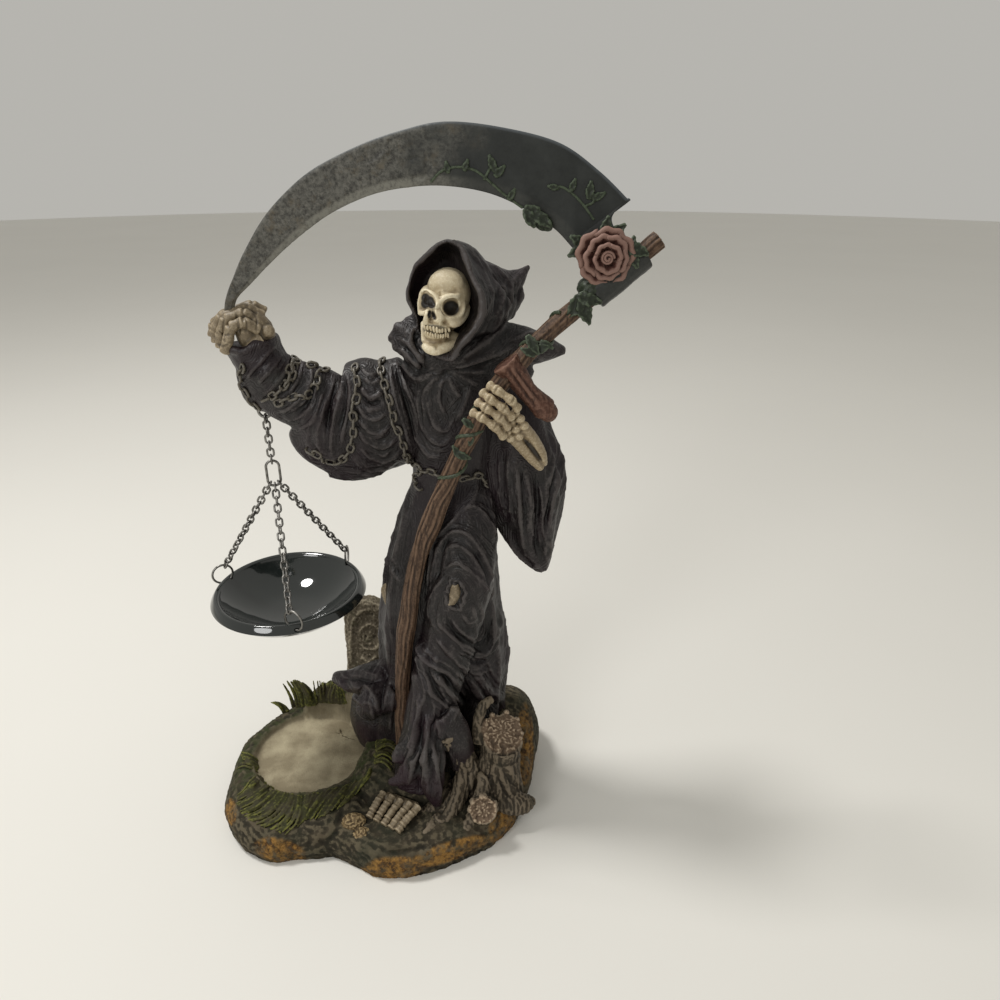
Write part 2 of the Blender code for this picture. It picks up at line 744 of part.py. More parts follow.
# The blade: points of its back and of its edge, from the tip to the collar
BLADE = [
    ((-45, 236.4), (-41.6, 236.9)),
    ((-43.6, 241), (-39.4, 241.2)),
    ((-40, 248.2), (-33.8, 246.2)),
    ((-33.4, 259), (-25.8, 253.4)),
    ((-23.6, 271.4), (-15, 262)),
    ((-9, 283.4), (-2.4, 270.2)),
    ((8, 291.6), (12, 276.4)),
    ((24.8, 297), (26, 279.2)),
    ((40, 299.6), (40, 279.6)),
    ((59, 297.8), (55, 277.1)),
    ((78.2, 293.1), (68.5, 271.3)),
    ((92, 284.4), (77.5, 265.5)),
    ((102.2, 275.6), (82.6, 260.6)),
    ((97.4, 270.6), (84.6, 258.4)),
    ((97.6, 267), (86.4, 255.6)),
    ((101, 262.4), (88.6, 251.2)),
    ((104.4, 255.6), (92.4, 245.6)),
]
TIP_SECTIONS = 3
BLADE_TIP_Y = -5.0
BLADE_HEEL_Y = -11.5


def blade_plate(grow, thickness, sections=None):
    """The blade as a loft from its tip, thick along its back and ground thin along its edge."""
    loops = []
    rows = BLADE[:sections] if sections else BLADE
    for k, (back, edge) in enumerate(rows):
        share = k / (len(BLADE) - 1)
        y = BLADE_TIP_Y + (BLADE_HEEL_Y - BLADE_TIP_Y) * share
        outer, inner = at(back[0], y, back[1]), at(edge[0], y, edge[1])
        way = (inner - outer).normalized()
        outer, inner = outer - way * grow, inner + way * grow
        bevel = outer.lerp(inner, 0.72)
        half, thin = thickness / 2, (EDGE_THICKNESS / SPINE_THICKNESS) * thickness / 2
        thin = max(thin, thickness / 2 - SPINE_THICKNESS / 2 + EDGE_THICKNESS / 2)
        front, rear = Vector((0, -1, 0)), Vector((0, 1, 0))
        loops.append([
            outer + front * half * 0.7, bevel + front * half, inner + front * thin,
            inner + rear * thin, bevel + rear * half, outer + rear * half * 0.7,
        ])
    if grow:
        drop = (loops[0][0] - loops[1][0]).normalized() * grow
        loops[0] = [p + drop for p in loops[0]]
    return loft(loops)


def collar():
    """The socket of the blade round the end of the staff."""
    low, high = at(91.4, -14.8, 244.1), at(108.5, -12.4, 257.9)
    return tube([low, low.lerp(high, 0.5), high], [STAFF_RADIUS + COLLAR_WALL + GAP] * 3, sides=3)


def staff_clearance():
    """What the collar is bored by: the end of the staff and the gap round it."""
    points = [at(*p) for p in STAFF[-5:]]
    radii = [STAFF_RADIUS * share + 1.5 * GAP for share in STAFF_THICKNESS[-5:]]
    points[-1] = points[-1] + (points[-1] - points[-2]).normalized() * STAFF_RADIUS
    return tube(points, radii, sides=3)


ROSE_CENTRE = (94.8, -17.6, 257.4)
ROSE_RADIUS = 9.8
PETAL_RINGS = [(0.98, 5, 0.0, 1.4), (0.72, 5, 0.6, 2.9), (0.42, 4, 0.2, 4.3)]


def rose():
    """Rings of lobed petals that stand up round a small heart, facing the front."""
    forms = [blob((94.8, -15.5, 257.4), (7.5, 4.2, 7.5))]
    for share, count, start, rise in PETAL_RINGS:
        for k in range(count):
            angle = start + 2 * math.pi * k / count
            reach = ROSE_RADIUS * share * 0.66
            x = ROSE_CENTRE[0] + reach * math.cos(angle)
            z = ROSE_CENTRE[2] + reach * math.sin(angle)
            size = ROSE_RADIUS * share * 0.46
            forms.append(blob((x, ROSE_CENTRE[1] - rise + 1.2, z), (size, 1.7, size)))
    forms.append(blob((94.8, -21.6, 257.4), (2.4, 2.0, 2.4)))
    return forms


def leaves():
    """Leaf knots of the vine on the collar and the blade's edge."""
    return [
        blob((90.5, -14.5, 246.5), (4.6, 5.4, 4.2)),
        blob((72.8, -10, 268.2), (4.6, 2.6, 3.2), tilt=35),
        blob((104.5, -15.5, 258.2), (3.0, 4.2, 3.4)),
    ]


def scythe_blade(where, look):
    knot = fewer_faces(remeshed([collar()] + rose() + leaves(), VOXEL * 0.7), KNOT_TRIANGLES)
    solid = united([blade_plate(0, SPINE_THICKNESS), knot])
    return add_object("scythe_blade", cut_away(solid, [staff_clearance()]), where, look)


def hook_top():
    """The height of the hook's upper end, which hangs in the last link of the upper chain."""
    eye_seat = EYE_Z - EYE_RADIUS + EYE_WIRE / 2 + GAP / 2
    return eye_seat - (TOP_LINKS * LINK_PITCH - TOUCH) + GAP / 2 + HOOK_WIRE


def hook_seat(share):
    """A point on the middle of the hook's wire at a share of the round from its bottom, and its tangent."""
    bend = HOOK_WIDTH / 2 - HOOK_WIRE / 2
    middle = Vector((HANG_X, HANG_Y, hook_top() - HOOK_LENGTH + HOOK_WIDTH / 2))
    turn = share * math.pi
    side = Vector((math.cos(HOOK_TURN), math.sin(HOOK_TURN), 0))
    up = Vector((0, 0, 1))
    point = middle + side * bend * math.sin(turn) - up * bend * math.cos(turn)
    return point, side * math.cos(turn) + up * math.sin(turn)


def hanging():
    """Where the rings hang, for the height at which the front chain is just straight."""
    seat = hook_seat(0)[0]
    length = SIDE_LINKS * LINK_PITCH - TOUCH - HOOK_WIRE / 2 + RING_RADIUS - RING_WIRE / 2 - GAP
    out = RING_CENTRE - 0.35 * RING_RADIUS
    ring_z = seat.z - math.sqrt(length**2 - out**2)
    rings = []
    for k, side in enumerate(("right", "left", "front")):
        angle = FIRST_RING_ANGLE + 2 * math.pi * k / RINGS
        out_way = Vector((math.cos(angle), math.sin(angle), 0))
        centre = Vector((HANG_X, HANG_Y, ring_z)) + out_way * RING_CENTRE
        rings.append((side, centre, angle + RING_YAW))
    return rings, ring_z - RING_RISE


def link_loop(length, width, wire, segments=6, sides=3):
    """One closed link in the XZ plane: two half rounds and two straight sides."""
    reach, half = length / 2 - wire / 2, width / 2 - wire / 2
    straight = reach - half
    path = []
    for k in range(segments):
        angle = 2 * math.pi * (k + 0.5) / segments
        lift = straight if math.sin(angle) > 0 else -straight
        path.append(Vector((half * math.cos(angle), 0, half * math.sin(angle) + lift)))
    return ring_mesh(path, wire / 2, sides)


def ring_mesh(path, radius, sides):
    """A wire of few sides round a closed flat path in the XZ plane."""
    bm = bmesh.new()
    count = len(path)
    rows = []
    for k, point in enumerate(path):
        way = (path[(k + 1) % count] - path[k - 1]).normalized()
        out = Vector((way.z, 0, -way.x))
        row = []
        for i in range(sides):
            angle = 2 * math.pi * (i + 0.5) / sides
            spoke = out * math.cos(angle) + Vector((0, 1, 0)) * math.sin(angle)
            row.append(bm.verts.new(point + spoke * radius))
        rows.append(row)
    for k in range(count):
        low, high = rows[k], rows[(k + 1) % count]
        for i in range(sides):
            j = (i + 1) % sides
            bm.faces.new((low[i], low[j], high[j], high[i]))
    return mesh_from(bm)


def hoop(radius, wire, count, sides):
    """A round wire ring in the XZ plane."""
    turns = [2 * math.pi * k / count for k in range(count)]
    return ring_mesh([Vector((radius * math.cos(t), 0, radius * math.sin(t))) for t in turns], wire / 2, sides)


def square_to(vector, way):
    return (vector - way * vector.dot(way)).normalized()


def chain(start, end, count, first_normal, last_normal):
    """Links from start to end, which are the inner ends of the first and the last link."""
    way = (end - start).normalized()
    pitch = ((end - start).length + TOUCH) / count
    length = pitch + 2 * LINK_WIRE - TOUCH
    first, last = square_to(first_normal, way), square_to(last_normal, way)
    turned = Matrix.Rotation(math.pi / 2 * (count - 1), 3, way) @ first
    slack = math.atan2(way.dot(turned.cross(last)), turned.dot(last))
    slack = (slack + math.pi / 2) % math.pi - math.pi / 2
    step = math.pi / 2 + slack / (count - 1)
    links = []
    for k in range(count):
        normal = Matrix.Rotation(step * k, 3, way) @ first
        frame = Matrix((normal.cross(-way), normal, -way)).transposed().to_4x4()
        mesh = link_loop(length, LINK_WIDTH, LINK_WIRE)
        mesh.transform(Matrix.Translation(start + way * (length / 2 - LINK_WIRE + k * pitch)) @ frame)
        links.append(mesh)
    return united(links)


def hook(where, look):
    """The long loop that joins the upper chain to the three lower ones."""
    mesh = link_loop(HOOK_LENGTH, HOOK_WIDTH, HOOK_WIRE, segments=12, sides=5)
    middle = Vector((HANG_X, HANG_Y, hook_top() - HOOK_LENGTH / 2))
    mesh.transform(Matrix.Translation(middle) @ Matrix.Rotation(HOOK_TURN, 4, "Z"))
    return add_object("chain_hook", mesh, where, look)


def eye(where, look):
    """A wire eye under the wrist, its shank set in the sleeve."""
    mesh = hoop(EYE_RADIUS, EYE_WIRE, 12, 5)
    mesh.transform(Matrix.Translation(Vector((HANG_X, HANG_Y, EYE_Z))))
    shank = cylinder(EYE_WIRE / 2, EYE_Z + EYE_RADIUS - EYE_WIRE / 4, EYE_Z + EYE_SHANK, (HANG_X, HANG_Y), 8)
    return add_object("wrist_eye", united([mesh, shank]), where, look)


def dish_profile():
    """The bowl's half section from the middle of its inside, over the crest, to the middle below."""
    inner = DISH_RADIUS - DISH_LIP
    crest = DISH_RADIUS - 0.5 * DISH_LIP
    deep = DISH_DEPTH - DISH_WALL
    drop = 0.38 * DISH_LIP
    rows = [(0.0, -deep)]
    for share in (0.4, 0.66, 0.86, 1.0):
        rows.append((inner * share, -drop - (deep - drop) * (1 - share**2.6)))
    rows += [(inner + 0.22 * DISH_LIP, -0.1 * DISH_LIP), (crest, 0.0)]
    rows += [(crest + 0.2 * DISH_LIP, -0.14 * DISH_LIP), (DISH_RADIUS, -0.64 * DISH_LIP)]
    edge, fall = DISH_RADIUS - 0.12 * DISH_LIP, 0.82 * DISH_LIP
    for share in (1.0, 0.86, 0.66, 0.4):
        rows.append((edge * share, -fall - (DISH_DEPTH - fall) * (1 - share**2.6)))
    rows.append((0.0, -DISH_DEPTH))
    return rows


def placed_ring(centre, turn, wire, count, sides):
    mesh = hoop(RING_RADIUS, wire, count, sides)
    mesh.transform(Matrix.Translation(centre) @ Matrix.Rotation(turn, 4, "Z"))
    return mesh


def dish(where, look):
    """The glazed oil dish: a turned bowl with a crested rim, pierced for its rings."""
    rings, crest_z = hanging()
    bm = bmesh.new()
    row = [bm.verts.new((x, 0, z)) for x, z in dish_profile()]
    for first, second in zip(row, row[1:]):
        bm.edges.new((first, second))
    mesh = bpy.data.meshes.new("profile")
    bm.to_mesh(mesh)
    bm.free()
    turned = add_object("turned", mesh, bpy.context.scene.collection)
    turn = turned.modifiers.new("Turn", "SCREW")
    turn.steps = turn.render_steps = 24
    turn.use_merge_vertices = True
    turn.merge_threshold = 0.00002
    bowl = take(turned)
    bowl.transform(Matrix.Translation(Vector((HANG_X, HANG_Y, crest_z))))
    tunnels = [placed_ring(centre, yaw, RING_WIRE + 2 * GAP, 12, 5) for _, centre, yaw in rings]
    return add_object("oil_dish", cut_away(bowl, tunnels), where, look)


def rings_and_chains(where, look):
    """Three rings through the dish's rim, and the chains from them up to the hook."""
    for (side, centre, yaw), share in zip(hanging()[0], (0.27, -0.27, 0.0)):
        mesh = placed_ring(centre, yaw, RING_WIRE, 12, 4)
        add_object(f"dish_ring_{side}", mesh, where, look)
        seat, seat_way = hook_seat(share)
        normal = Vector((-math.sin(yaw), math.cos(yaw), 0))
        toward = square_to(seat - centre, normal)
        end = centre + toward * (RING_RADIUS - RING_WIRE / 2 - GAP / 2)
        start = seat - (end - seat).normalized() * (HOOK_WIRE / 2 + GAP / 2)
        mesh = chain(start, end, SIDE_LINKS, seat_way, normal.cross(toward))
        add_object(f"chain_{side}", mesh, where, look)
    start = Vector((HANG_X, HANG_Y, EYE_Z - EYE_RADIUS + EYE_WIRE / 2 + GAP / 2))
    end = Vector((HANG_X, HANG_Y, hook_top() - HOOK_WIRE - GAP / 2))
    hook_way = hook_seat(0)[1]
    add_object("chain_top", chain(start, end, TOP_LINKS, Vector((1, 0, 0)), hook_way), where, look)


def main():
    for obj in list(bpy.data.objects):
        bpy.data.objects.remove(obj)
    parts = collection("grim_reaper_figurine")
    resin = material("resin", 0.55, 0.0)
    metal = material("metal", 0.35, 1.0)
    casting(parts, resin)
    scythe_blade(parts, material("blade", 0.45, 0.3))
    dish(parts, material("glaze", 0.08, 0.0))
    hook(parts, metal)
    eye(parts, metal)
    rings_and_chains(parts, metal)


main()
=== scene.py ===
"""The looks of the grim reaper figurine: carved drapery, bones, wood, grass, blade, dish and chains.

Points are in figure units, 1/300 of the height, in the same frame as the solids. A pixel pair (u, v)
is a place in the photograph, turned into a point of the figure by the camera's own geometry.
"""

import math
import random

import bmesh
import bpy
import numpy as np
from mathutils import Matrix, Vector
from mathutils.bvhtree import BVHTree


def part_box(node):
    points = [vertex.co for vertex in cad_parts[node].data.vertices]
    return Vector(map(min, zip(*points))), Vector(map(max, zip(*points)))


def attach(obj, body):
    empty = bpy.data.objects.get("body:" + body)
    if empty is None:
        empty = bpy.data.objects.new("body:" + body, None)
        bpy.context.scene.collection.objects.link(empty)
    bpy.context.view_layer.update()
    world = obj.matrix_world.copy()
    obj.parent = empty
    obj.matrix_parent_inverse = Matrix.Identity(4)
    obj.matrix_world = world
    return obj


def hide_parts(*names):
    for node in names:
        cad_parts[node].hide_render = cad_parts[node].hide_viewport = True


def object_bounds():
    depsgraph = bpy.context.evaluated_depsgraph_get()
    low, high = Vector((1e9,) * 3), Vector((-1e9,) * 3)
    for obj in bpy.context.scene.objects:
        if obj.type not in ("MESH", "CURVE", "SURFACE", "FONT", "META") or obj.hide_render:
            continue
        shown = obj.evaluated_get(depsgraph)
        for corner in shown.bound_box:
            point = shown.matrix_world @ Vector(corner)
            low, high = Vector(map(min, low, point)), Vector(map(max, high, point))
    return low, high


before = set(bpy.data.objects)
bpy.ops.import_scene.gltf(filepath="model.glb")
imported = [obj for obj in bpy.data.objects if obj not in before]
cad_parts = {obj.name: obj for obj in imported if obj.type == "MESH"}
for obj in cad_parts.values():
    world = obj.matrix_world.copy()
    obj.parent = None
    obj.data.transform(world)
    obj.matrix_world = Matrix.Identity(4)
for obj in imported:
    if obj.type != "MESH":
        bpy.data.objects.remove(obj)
cad_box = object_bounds()

# Sizes from the frame
UNIT = (cad_box[1][2] - cad_box[0][2]) / 299.6
DISH_LOW, DISH_HIGH = (Vector(corner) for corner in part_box("oil_dish"))
HANG = (DISH_LOW + DISH_HIGH) / 2
DISH_RADIUS = (DISH_HIGH.x - DISH_LOW.x) / 2
CREST_Z = DISH_HIGH.z

# The camera, in figure units and photograph pixels
EYE = np.array([58.0, -290.0, 291.0])
PITCH = math.radians(25)
FOCAL = 751.0
MIDDLE = 500.0
RIGHT = np.array([1.0, 0.0, 0.0])
UP = np.array([0.0, math.sin(PITCH), math.cos(PITCH)])
AHEAD = np.array([0.0, math.cos(PITCH), -math.sin(PITCH)])

# How fine the carved skins are, in figure units
COARSER = 1.0
ROBE_VOXEL = 0.62 * COARSER
SLEEVE_VOXEL = 0.55 * COARSER
BONE_VOXEL = 0.30 * COARSER
GROUND_VOXEL = 0.75 * COARSER
WOOD_VOXEL = 0.42 * COARSER
GRASS_VOXEL = 0.42 * COARSER

# A piece keeps this many triangles, and this share of the rest
FEW_TRIANGLES = 20000
KEPT_SHARE = 0.5

random.seed(7)


# The camera's geometry


def sight(u, v):
    """The direction in which a pixel is seen."""
    return AHEAD + (u - MIDDLE) / FOCAL * RIGHT + (MIDDLE - v) / FOCAL * UP


def spot(u, v, y):
    """The point seen at a pixel at depth y, in figure units."""
    way = sight(u, v)
    return tuple(EYE + way * (y - EYE[1]) / way[1])


def ground_spot(u, v, z):
    """The point seen at a pixel at height z, in figure units."""
    way = sight(u, v)
    return tuple(EYE + way * (z - EYE[2]) / way[2])


def seen(points):
    """The pixels at which points in metres are seen."""
    away = points / UNIT - EYE
    ahead = away @ AHEAD
    return np.stack([MIDDLE + FOCAL * (away @ RIGHT) / ahead, MIDDLE - FOCAL * (away @ UP) / ahead], axis=1)


def facing(points, normals):
    """How far each point of a skin faces the camera, from -1 to 1."""
    away = EYE - points / UNIT
    away /= np.linalg.norm(away, axis=1)[:, None]
    return np.einsum("ij,ij->i", normals, away)


def at(point):
    return Vector(point) * UNIT


def smooth_row(rows, share):
    """A row of numbers read from a smooth curve through the rows, at a share of their count."""
    place = share * (len(rows) - 1)
    i = min(int(place), len(rows) - 2)
    t = place - i
    before, low, high, after = (
        np.array(rows[min(max(k, 0), len(rows) - 1)], float) for k in (i - 1, i, i + 1, i + 2)
    )
    return (
        low
        + 0.5 * t * (high - before)
        + t * t * (before - 2.5 * low + 2 * high - 0.5 * after)
        + t * t * t * (1.5 * (low - high) + 0.5 * (after - before))
    )


def smooth_path(points, per_span=4):
    count = (len(points) - 1) * per_span
    return [smooth_row(points, k / count) for k in range(count + 1)]


# Meshes and forms


THINNEST = 0.05


def mesh_from(bm):
    bmesh.ops.recalc_face_normals(bm, faces=bm.faces)
    mesh = bpy.data.meshes.new("form")
    bm.to_mesh(mesh)
    bm.free()
    return mesh


def loose(name, mesh):
    made = bpy.data.objects.new(name, mesh)
    bpy.context.scene.collection.objects.link(made)
    return made


def take(obj):
    """The evaluated mesh of a helper object, which is then removed."""
    graph = bpy.context.evaluated_depsgraph_get()
    mesh = bpy.data.meshes.new_from_object(obj.evaluated_get(graph))
    mesh.transform(obj.matrix_world)
    bpy.data.objects.remove(obj)
    return mesh


def loft(loops):
    """A closed skin over loops of points in metres, with flat ends."""
    bm = bmesh.new()
    rows = [[bm.verts.new(p) for p in loop] for loop in loops]
    count = len(rows[0])
    for low, high in zip(rows, rows[1:]):
        for i in range(count):
            j = (i + 1) % count
            bm.faces.new((low[i], low[j], high[j], high[i]))
    bm.faces.new(rows[0][::-1])
    bm.faces.new(rows[-1])
    return mesh_from(bm)


def framed(path, side=None):
    """Each point of a path with two directions square to it, which turn as little as they can."""
    for k, point in enumerate(path):
        before, after = path[max(k - 1, 0)], path[min(k + 1, len(path) - 1)]
        way = Vector(after - before).normalized()
        if side is None:
            side = way.orthogonal()
        side = (side - way * side.dot(way)).normalized()
        yield Vector(point), side, way.cross(side)


def limb(points, radii, sides=14, per_span=5):
    """A round tube through points with a radius at each."""
    path = smooth_path([tuple(p) for p in points], per_span)
    widths = smooth_path([(r,) for r in radii], per_span)
    loops = []
    for (centre, side, other), (width,) in zip(framed(path), widths):
        radius = max(float(width), THINNEST)
        loop = []
        for i in range(sides):
            angle = 2 * math.pi * i / sides
            spoke = (side * math.cos(angle) + other * math.sin(angle)) * radius
            loop.append(at(centre + spoke))
        loops.append(loop)
    return loft(loops)


def blob(centre, radii, tilt=0.0):
    """An ellipsoid tilted about Y, in degrees."""
    bm = bmesh.new()
    size = Matrix.Diagonal((*[r * UNIT for r in radii], 1))
    pose = Matrix.Translation(at(centre)) @ Matrix.Rotation(math.radians(tilt), 4, "Y") @ size
    bmesh.ops.create_icosphere(bm, subdivisions=4, radius=1, matrix=pose)
    return mesh_from(bm)


def pictured(rows):
    """Limbs through lists of places and blobs at single ones. A place is a pixel and its depth."""
    made = []
    for places, radii, *tilt in rows:
        if isinstance(places, list):
            made.append(limb([spot(*place) for place in places], radii))
        else:
            made.append(blob(spot(*places), radii, *tilt))
    return made


def bone(start, end, thin, thick):
    """A bone with a waist and a knuckle at each end."""
    start, end = Vector(start), Vector(end)
    points = [start.lerp(end, s) for s in (-0.04, 0.0, 0.12, 0.3, 0.5, 0.7, 0.88, 1.0, 1.04)]
    widths = [0.55 * thick, 0.92 * thick, thick, 0.5 * (thin + thick), thin, 0.5 * (thin + thick)]
    return limb(points, widths + [thick, 0.92 * thick, 0.55 * thick], per_span=3)


def sheet(rows, thickness):
    """A thin skin of even thickness over rows of points in metres."""
    bm = bmesh.new()
    grid = [[bm.verts.new(point) for point in row] for row in rows]
    for low, high in zip(grid, grid[1:]):
        for i in range(len(low) - 1):
            bm.faces.new((low[i], low[i + 1], high[i + 1], high[i]))
    obj = loose("sheet", mesh_from(bm))
    thick = obj.modifiers.new("Thick", "SOLIDIFY")
    thick.thickness = thickness * UNIT
    thick.offset = 0
    return take(obj)


def joined(meshes):
    bm = bmesh.new()
    for mesh in meshes:
        bm.from_mesh(mesh)
    return mesh_from(bm)


def grown(meshes, voxel):
    """The meshes grown together into one even skin."""
    obj = loose("forms", joined(meshes))
    skin = obj.modifiers.new("Grow", "REMESH")
    skin.mode = "VOXEL"
    skin.voxel_size = voxel * UNIT
    return take(obj)


def cut_away(mesh, cutters):
    """The mesh less each cutter."""
    obj = loose("cut", mesh)
    helpers = []
    for cutter in cutters:
        helper = loose("cutter", cutter)
        cut = obj.modifiers.new("Cut", "BOOLEAN")
        cut.operation = "DIFFERENCE"
        cut.solver = "EXACT"
        cut.object = helper
        helpers.append(helper)
    result = take(obj)
    for helper in helpers:
        bpy.data.objects.remove(helper)
    return result


def arrays(mesh):
    points = np.empty(len(mesh.vertices) * 3)
    mesh.vertices.foreach_get("co", points)
    normals = np.empty(len(mesh.vertices) * 3)
    mesh.vertices.foreach_get("normal", normals)
    return points.reshape(-1, 3), normals.reshape(-1, 3)


def put(mesh, points):
    mesh.vertices.foreach_set("co", np.ascontiguousarray(points, dtype=np.float32).ravel())
    mesh.update()


def edge_ends(mesh):
    ends = np.empty(len(mesh.edges) * 2, dtype=np.int64)
    mesh.edges.foreach_get("vertices", ends)
    return ends.reshape(-1, 2)


def averaged(values, ends, times):
    """Values at vertices, each replaced by the mean of its neighbours and itself, several times."""
    flat = values.reshape(len(values), -1).copy()
    count = len(flat)
    first = np.concatenate([ends[:, 0], ends[:, 1]])
    second = np.concatenate([ends[:, 1], ends[:, 0]])
    share = np.bincount(first, minlength=count) + 1.0
    for _ in range(times):
        for k in range(flat.shape[1]):
            flat[:, k] = (np.bincount(first, flat[second, k], count) + flat[:, k]) / share
    return flat.reshape(values.shape)


def give(mesh, name, values):
    """A named number at each vertex."""
    layer = mesh.attributes.new(name, "FLOAT", "POINT")
    layer.data.foreach_set("value", np.ascontiguousarray(values, dtype=np.float32))


def note_relief(mesh, near=2, far=12):
    """Names how far each vertex stands out of its surroundings, close by and farther off."""
    points, normals = arrays(mesh)
    ends = edge_ends(mesh)
    close = averaged(points, ends, near)
    wide = averaged(close, ends, far)
    ridge = np.einsum("ij,ij->i", points - averaged(close, ends, 2), normals) / UNIT
    hollow = np.einsum("ij,ij->i", close - wide, normals) / UNIT
    give(mesh, "ridge", averaged(ridge, ends, 1))
    give(mesh, "hollow", hollow)


def soften(mesh, times):
    points, _ = arrays(mesh)
    put(mesh, averaged(points, edge_ends(mesh), times))


def skin_tree(mesh):
    """A tree that finds where lines meet the mesh."""
    mesh.calc_loop_triangles()
    return BVHTree.FromPolygons(
        [v.co.copy() for v in mesh.vertices], [tuple(t.vertices) for t in mesh.loop_triangles]
    )


def touched(tree, u, v):
    """Where the sight line of a pixel meets the skin, in figure units, and the skin's normal."""
    place, normal, _, _ = tree.ray_cast(at(EYE), Vector(sight(u, v)))
    if place is None:
        return None
    return place / UNIT, normal


def stroke_reach(flat, path, width):
    """Closeness to a path from 0 to 1, the signed distance to it, and the share of it passed."""
    nodes = np.array(smooth_path(path, 3), float)
    low, high = nodes.min(axis=0) - 3 * width, nodes.max(axis=0) + 3 * width
    near = np.where(np.all((flat > low) & (flat < high), axis=1))[0]
    closest = np.full(len(near), 1e9)
    along = np.zeros(len(near))
    spots = flat[near]
    lengths = np.linalg.norm(np.diff(nodes, axis=0), axis=1)
    starts = np.concatenate([[0], np.cumsum(lengths)])
    for k, length in enumerate(lengths):
        way = (nodes[k + 1] - nodes[k]) / max(length, 1e-9)
        t = np.clip((spots - nodes[k]) @ way, 0, length)
        away = np.linalg.norm(spots - nodes[k] - t[:, None] * way, axis=1)
        nearer = away < closest
        closest = np.where(nearer, away, closest)
        along = np.where(nearer, starts[k] + t, along)
    return near, closest, along / starts[-1]


# How many pixels from a stroke its comb reaches at least, and over how many it fades
COMB_REACH = 8.0
COMB_FADE = 9.0


def carve(mesh, strokes, sharpness=1.2):
    """Raises or sinks the skin along strokes seen by the camera, and names a comb that follows them.

    A stroke is (width in pixels, height in figure units, path of pixels).
    """
    points, normals = arrays(mesh)
    flat = seen(points)
    turned = np.clip(facing(points, normals) * 2.2 + 0.1, 0, 1)
    lift = np.zeros(len(points))
    best = np.full(len(points), 99.0)
    for width, height, path in strokes:
        near, closest, along = stroke_reach(flat, path, max(width, COMB_REACH))
        fade = np.clip(np.minimum(along, 1 - along) * 6, 0.1, 1)
        lift[near] += height * np.exp(-((closest / width) ** sharpness)) * fade
        best[near] = np.minimum(best[near], closest)
    put(mesh, points + normals * (lift * turned * UNIT)[:, None])
    give(mesh, "comb", best)
    give(mesh, "combed", np.exp(-((best / COMB_FADE) ** 2)) * turned)


# How far beside a stroke each thread runs, and how high it is
THREADS = [(-1.0, 1.0), (1.0, 0.8), (2.1, 0.6), (-2.1, 0.5)]
THREAD_GAP = 3.4


def with_threads(strokes, share=0.42):
    """The strokes, and beside each two finer ridges on either side."""
    made = list(strokes)
    for width, height, path in strokes:
        nodes = np.array(smooth_path(path, 2), float)
        ways = np.gradient(nodes, axis=0)
        ways /= np.maximum(np.linalg.norm(ways, axis=1), 1e-6)[:, None]
        side = np.stack([-ways[:, 1], ways[:, 0]], axis=1)
        for step, fall in THREADS:
            ends = np.linspace(0.06, 0.94, len(nodes))
            bend = 1 + 0.35 * np.sin(7 * ends + step + len(made))
            moved = nodes + side * (step * (width * 0.55 + THREAD_GAP) * bend)[:, None]
            made.append((width * 0.42, abs(height) * share * fall, [tuple(p) for p in moved[1:-1]]))
    return made


def shade_of(mesh, shades):
    """How far inside one of several tilted ellipses of the picture each vertex lies."""
    points, _ = arrays(mesh)
    flat = seen(points)
    shade = np.zeros(len(flat))
    for u, v, wide, tall, tilt in shades:
        turn = math.radians(tilt)
        du, dv = flat[:, 0] - u, flat[:, 1] - v
        across = (du * math.cos(turn) + dv * math.sin(turn)) / wide
        along = (dv * math.cos(turn) - du * math.sin(turn)) / tall
        shade = np.maximum(shade, np.clip((1.04 - np.hypot(across, along)) * 5, 0, 1))
    return shade


def waves(points, size, seed, octaves=3, stretch=(1, 1, 1)):
    """Smooth uneven relief between about -1 and 1, from sine waves that run in many directions."""
    rng = np.random.default_rng(seed)
    total = np.zeros(len(points))
    spots = points / UNIT * np.array(stretch)
    strength = 1.0
    for _ in range(octaves):
        for _ in range(5):
            way = rng.normal(size=3)
            way /= np.linalg.norm(way)
            bend = rng.normal(size=3)
            bend /= np.linalg.norm(bend)
            phase = rng.uniform(0, 6.28, 2)
            shift = np.sin(spots @ bend * 2.1 / size + phase[0])
            total += strength * np.sin(spots @ way * 6.28 / size + phase[1] + 1.4 * shift)
        size *= 0.5
        strength *= 0.55
    return total / 5


def roughen(mesh, size, height, seed, octaves=3, stretch=(1, 1, 1), ridged=False):
    points, normals = arrays(mesh)
    relief = waves(points, size, seed, octaves, stretch)
    if ridged:
        relief = 1 - 2 * np.abs(relief)
    put(mesh, points + normals * (relief * height * UNIT)[:, None])


def thinned(mesh):
    """The mesh with fewer triangles where it is dense and even."""
    mesh.calc_loop_triangles()
    count = len(mesh.loop_triangles)
    if count <= FEW_TRIANGLES:
        return mesh
    obj = loose("dense", mesh)
    thin = obj.modifiers.new("Thin", "DECIMATE")
    thin.ratio = (FEW_TRIANGLES + KEPT_SHARE * (count - FEW_TRIANGLES)) / count
    return take(obj)


def add_piece(name, mesh, look, node):
    """A finished piece inside the solids' box, which rides on the body and stands for its node."""
    mesh = thinned(mesh)
    points, _ = arrays(mesh)
    put(mesh, np.clip(points, *cad_box))
    piece = loose(name, mesh)
    piece.data.materials.clear()
    piece.data.materials.append(look)
    piece.data.shade_smooth()
    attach(piece, "root")
    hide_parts(node)
    return piece


# Materials


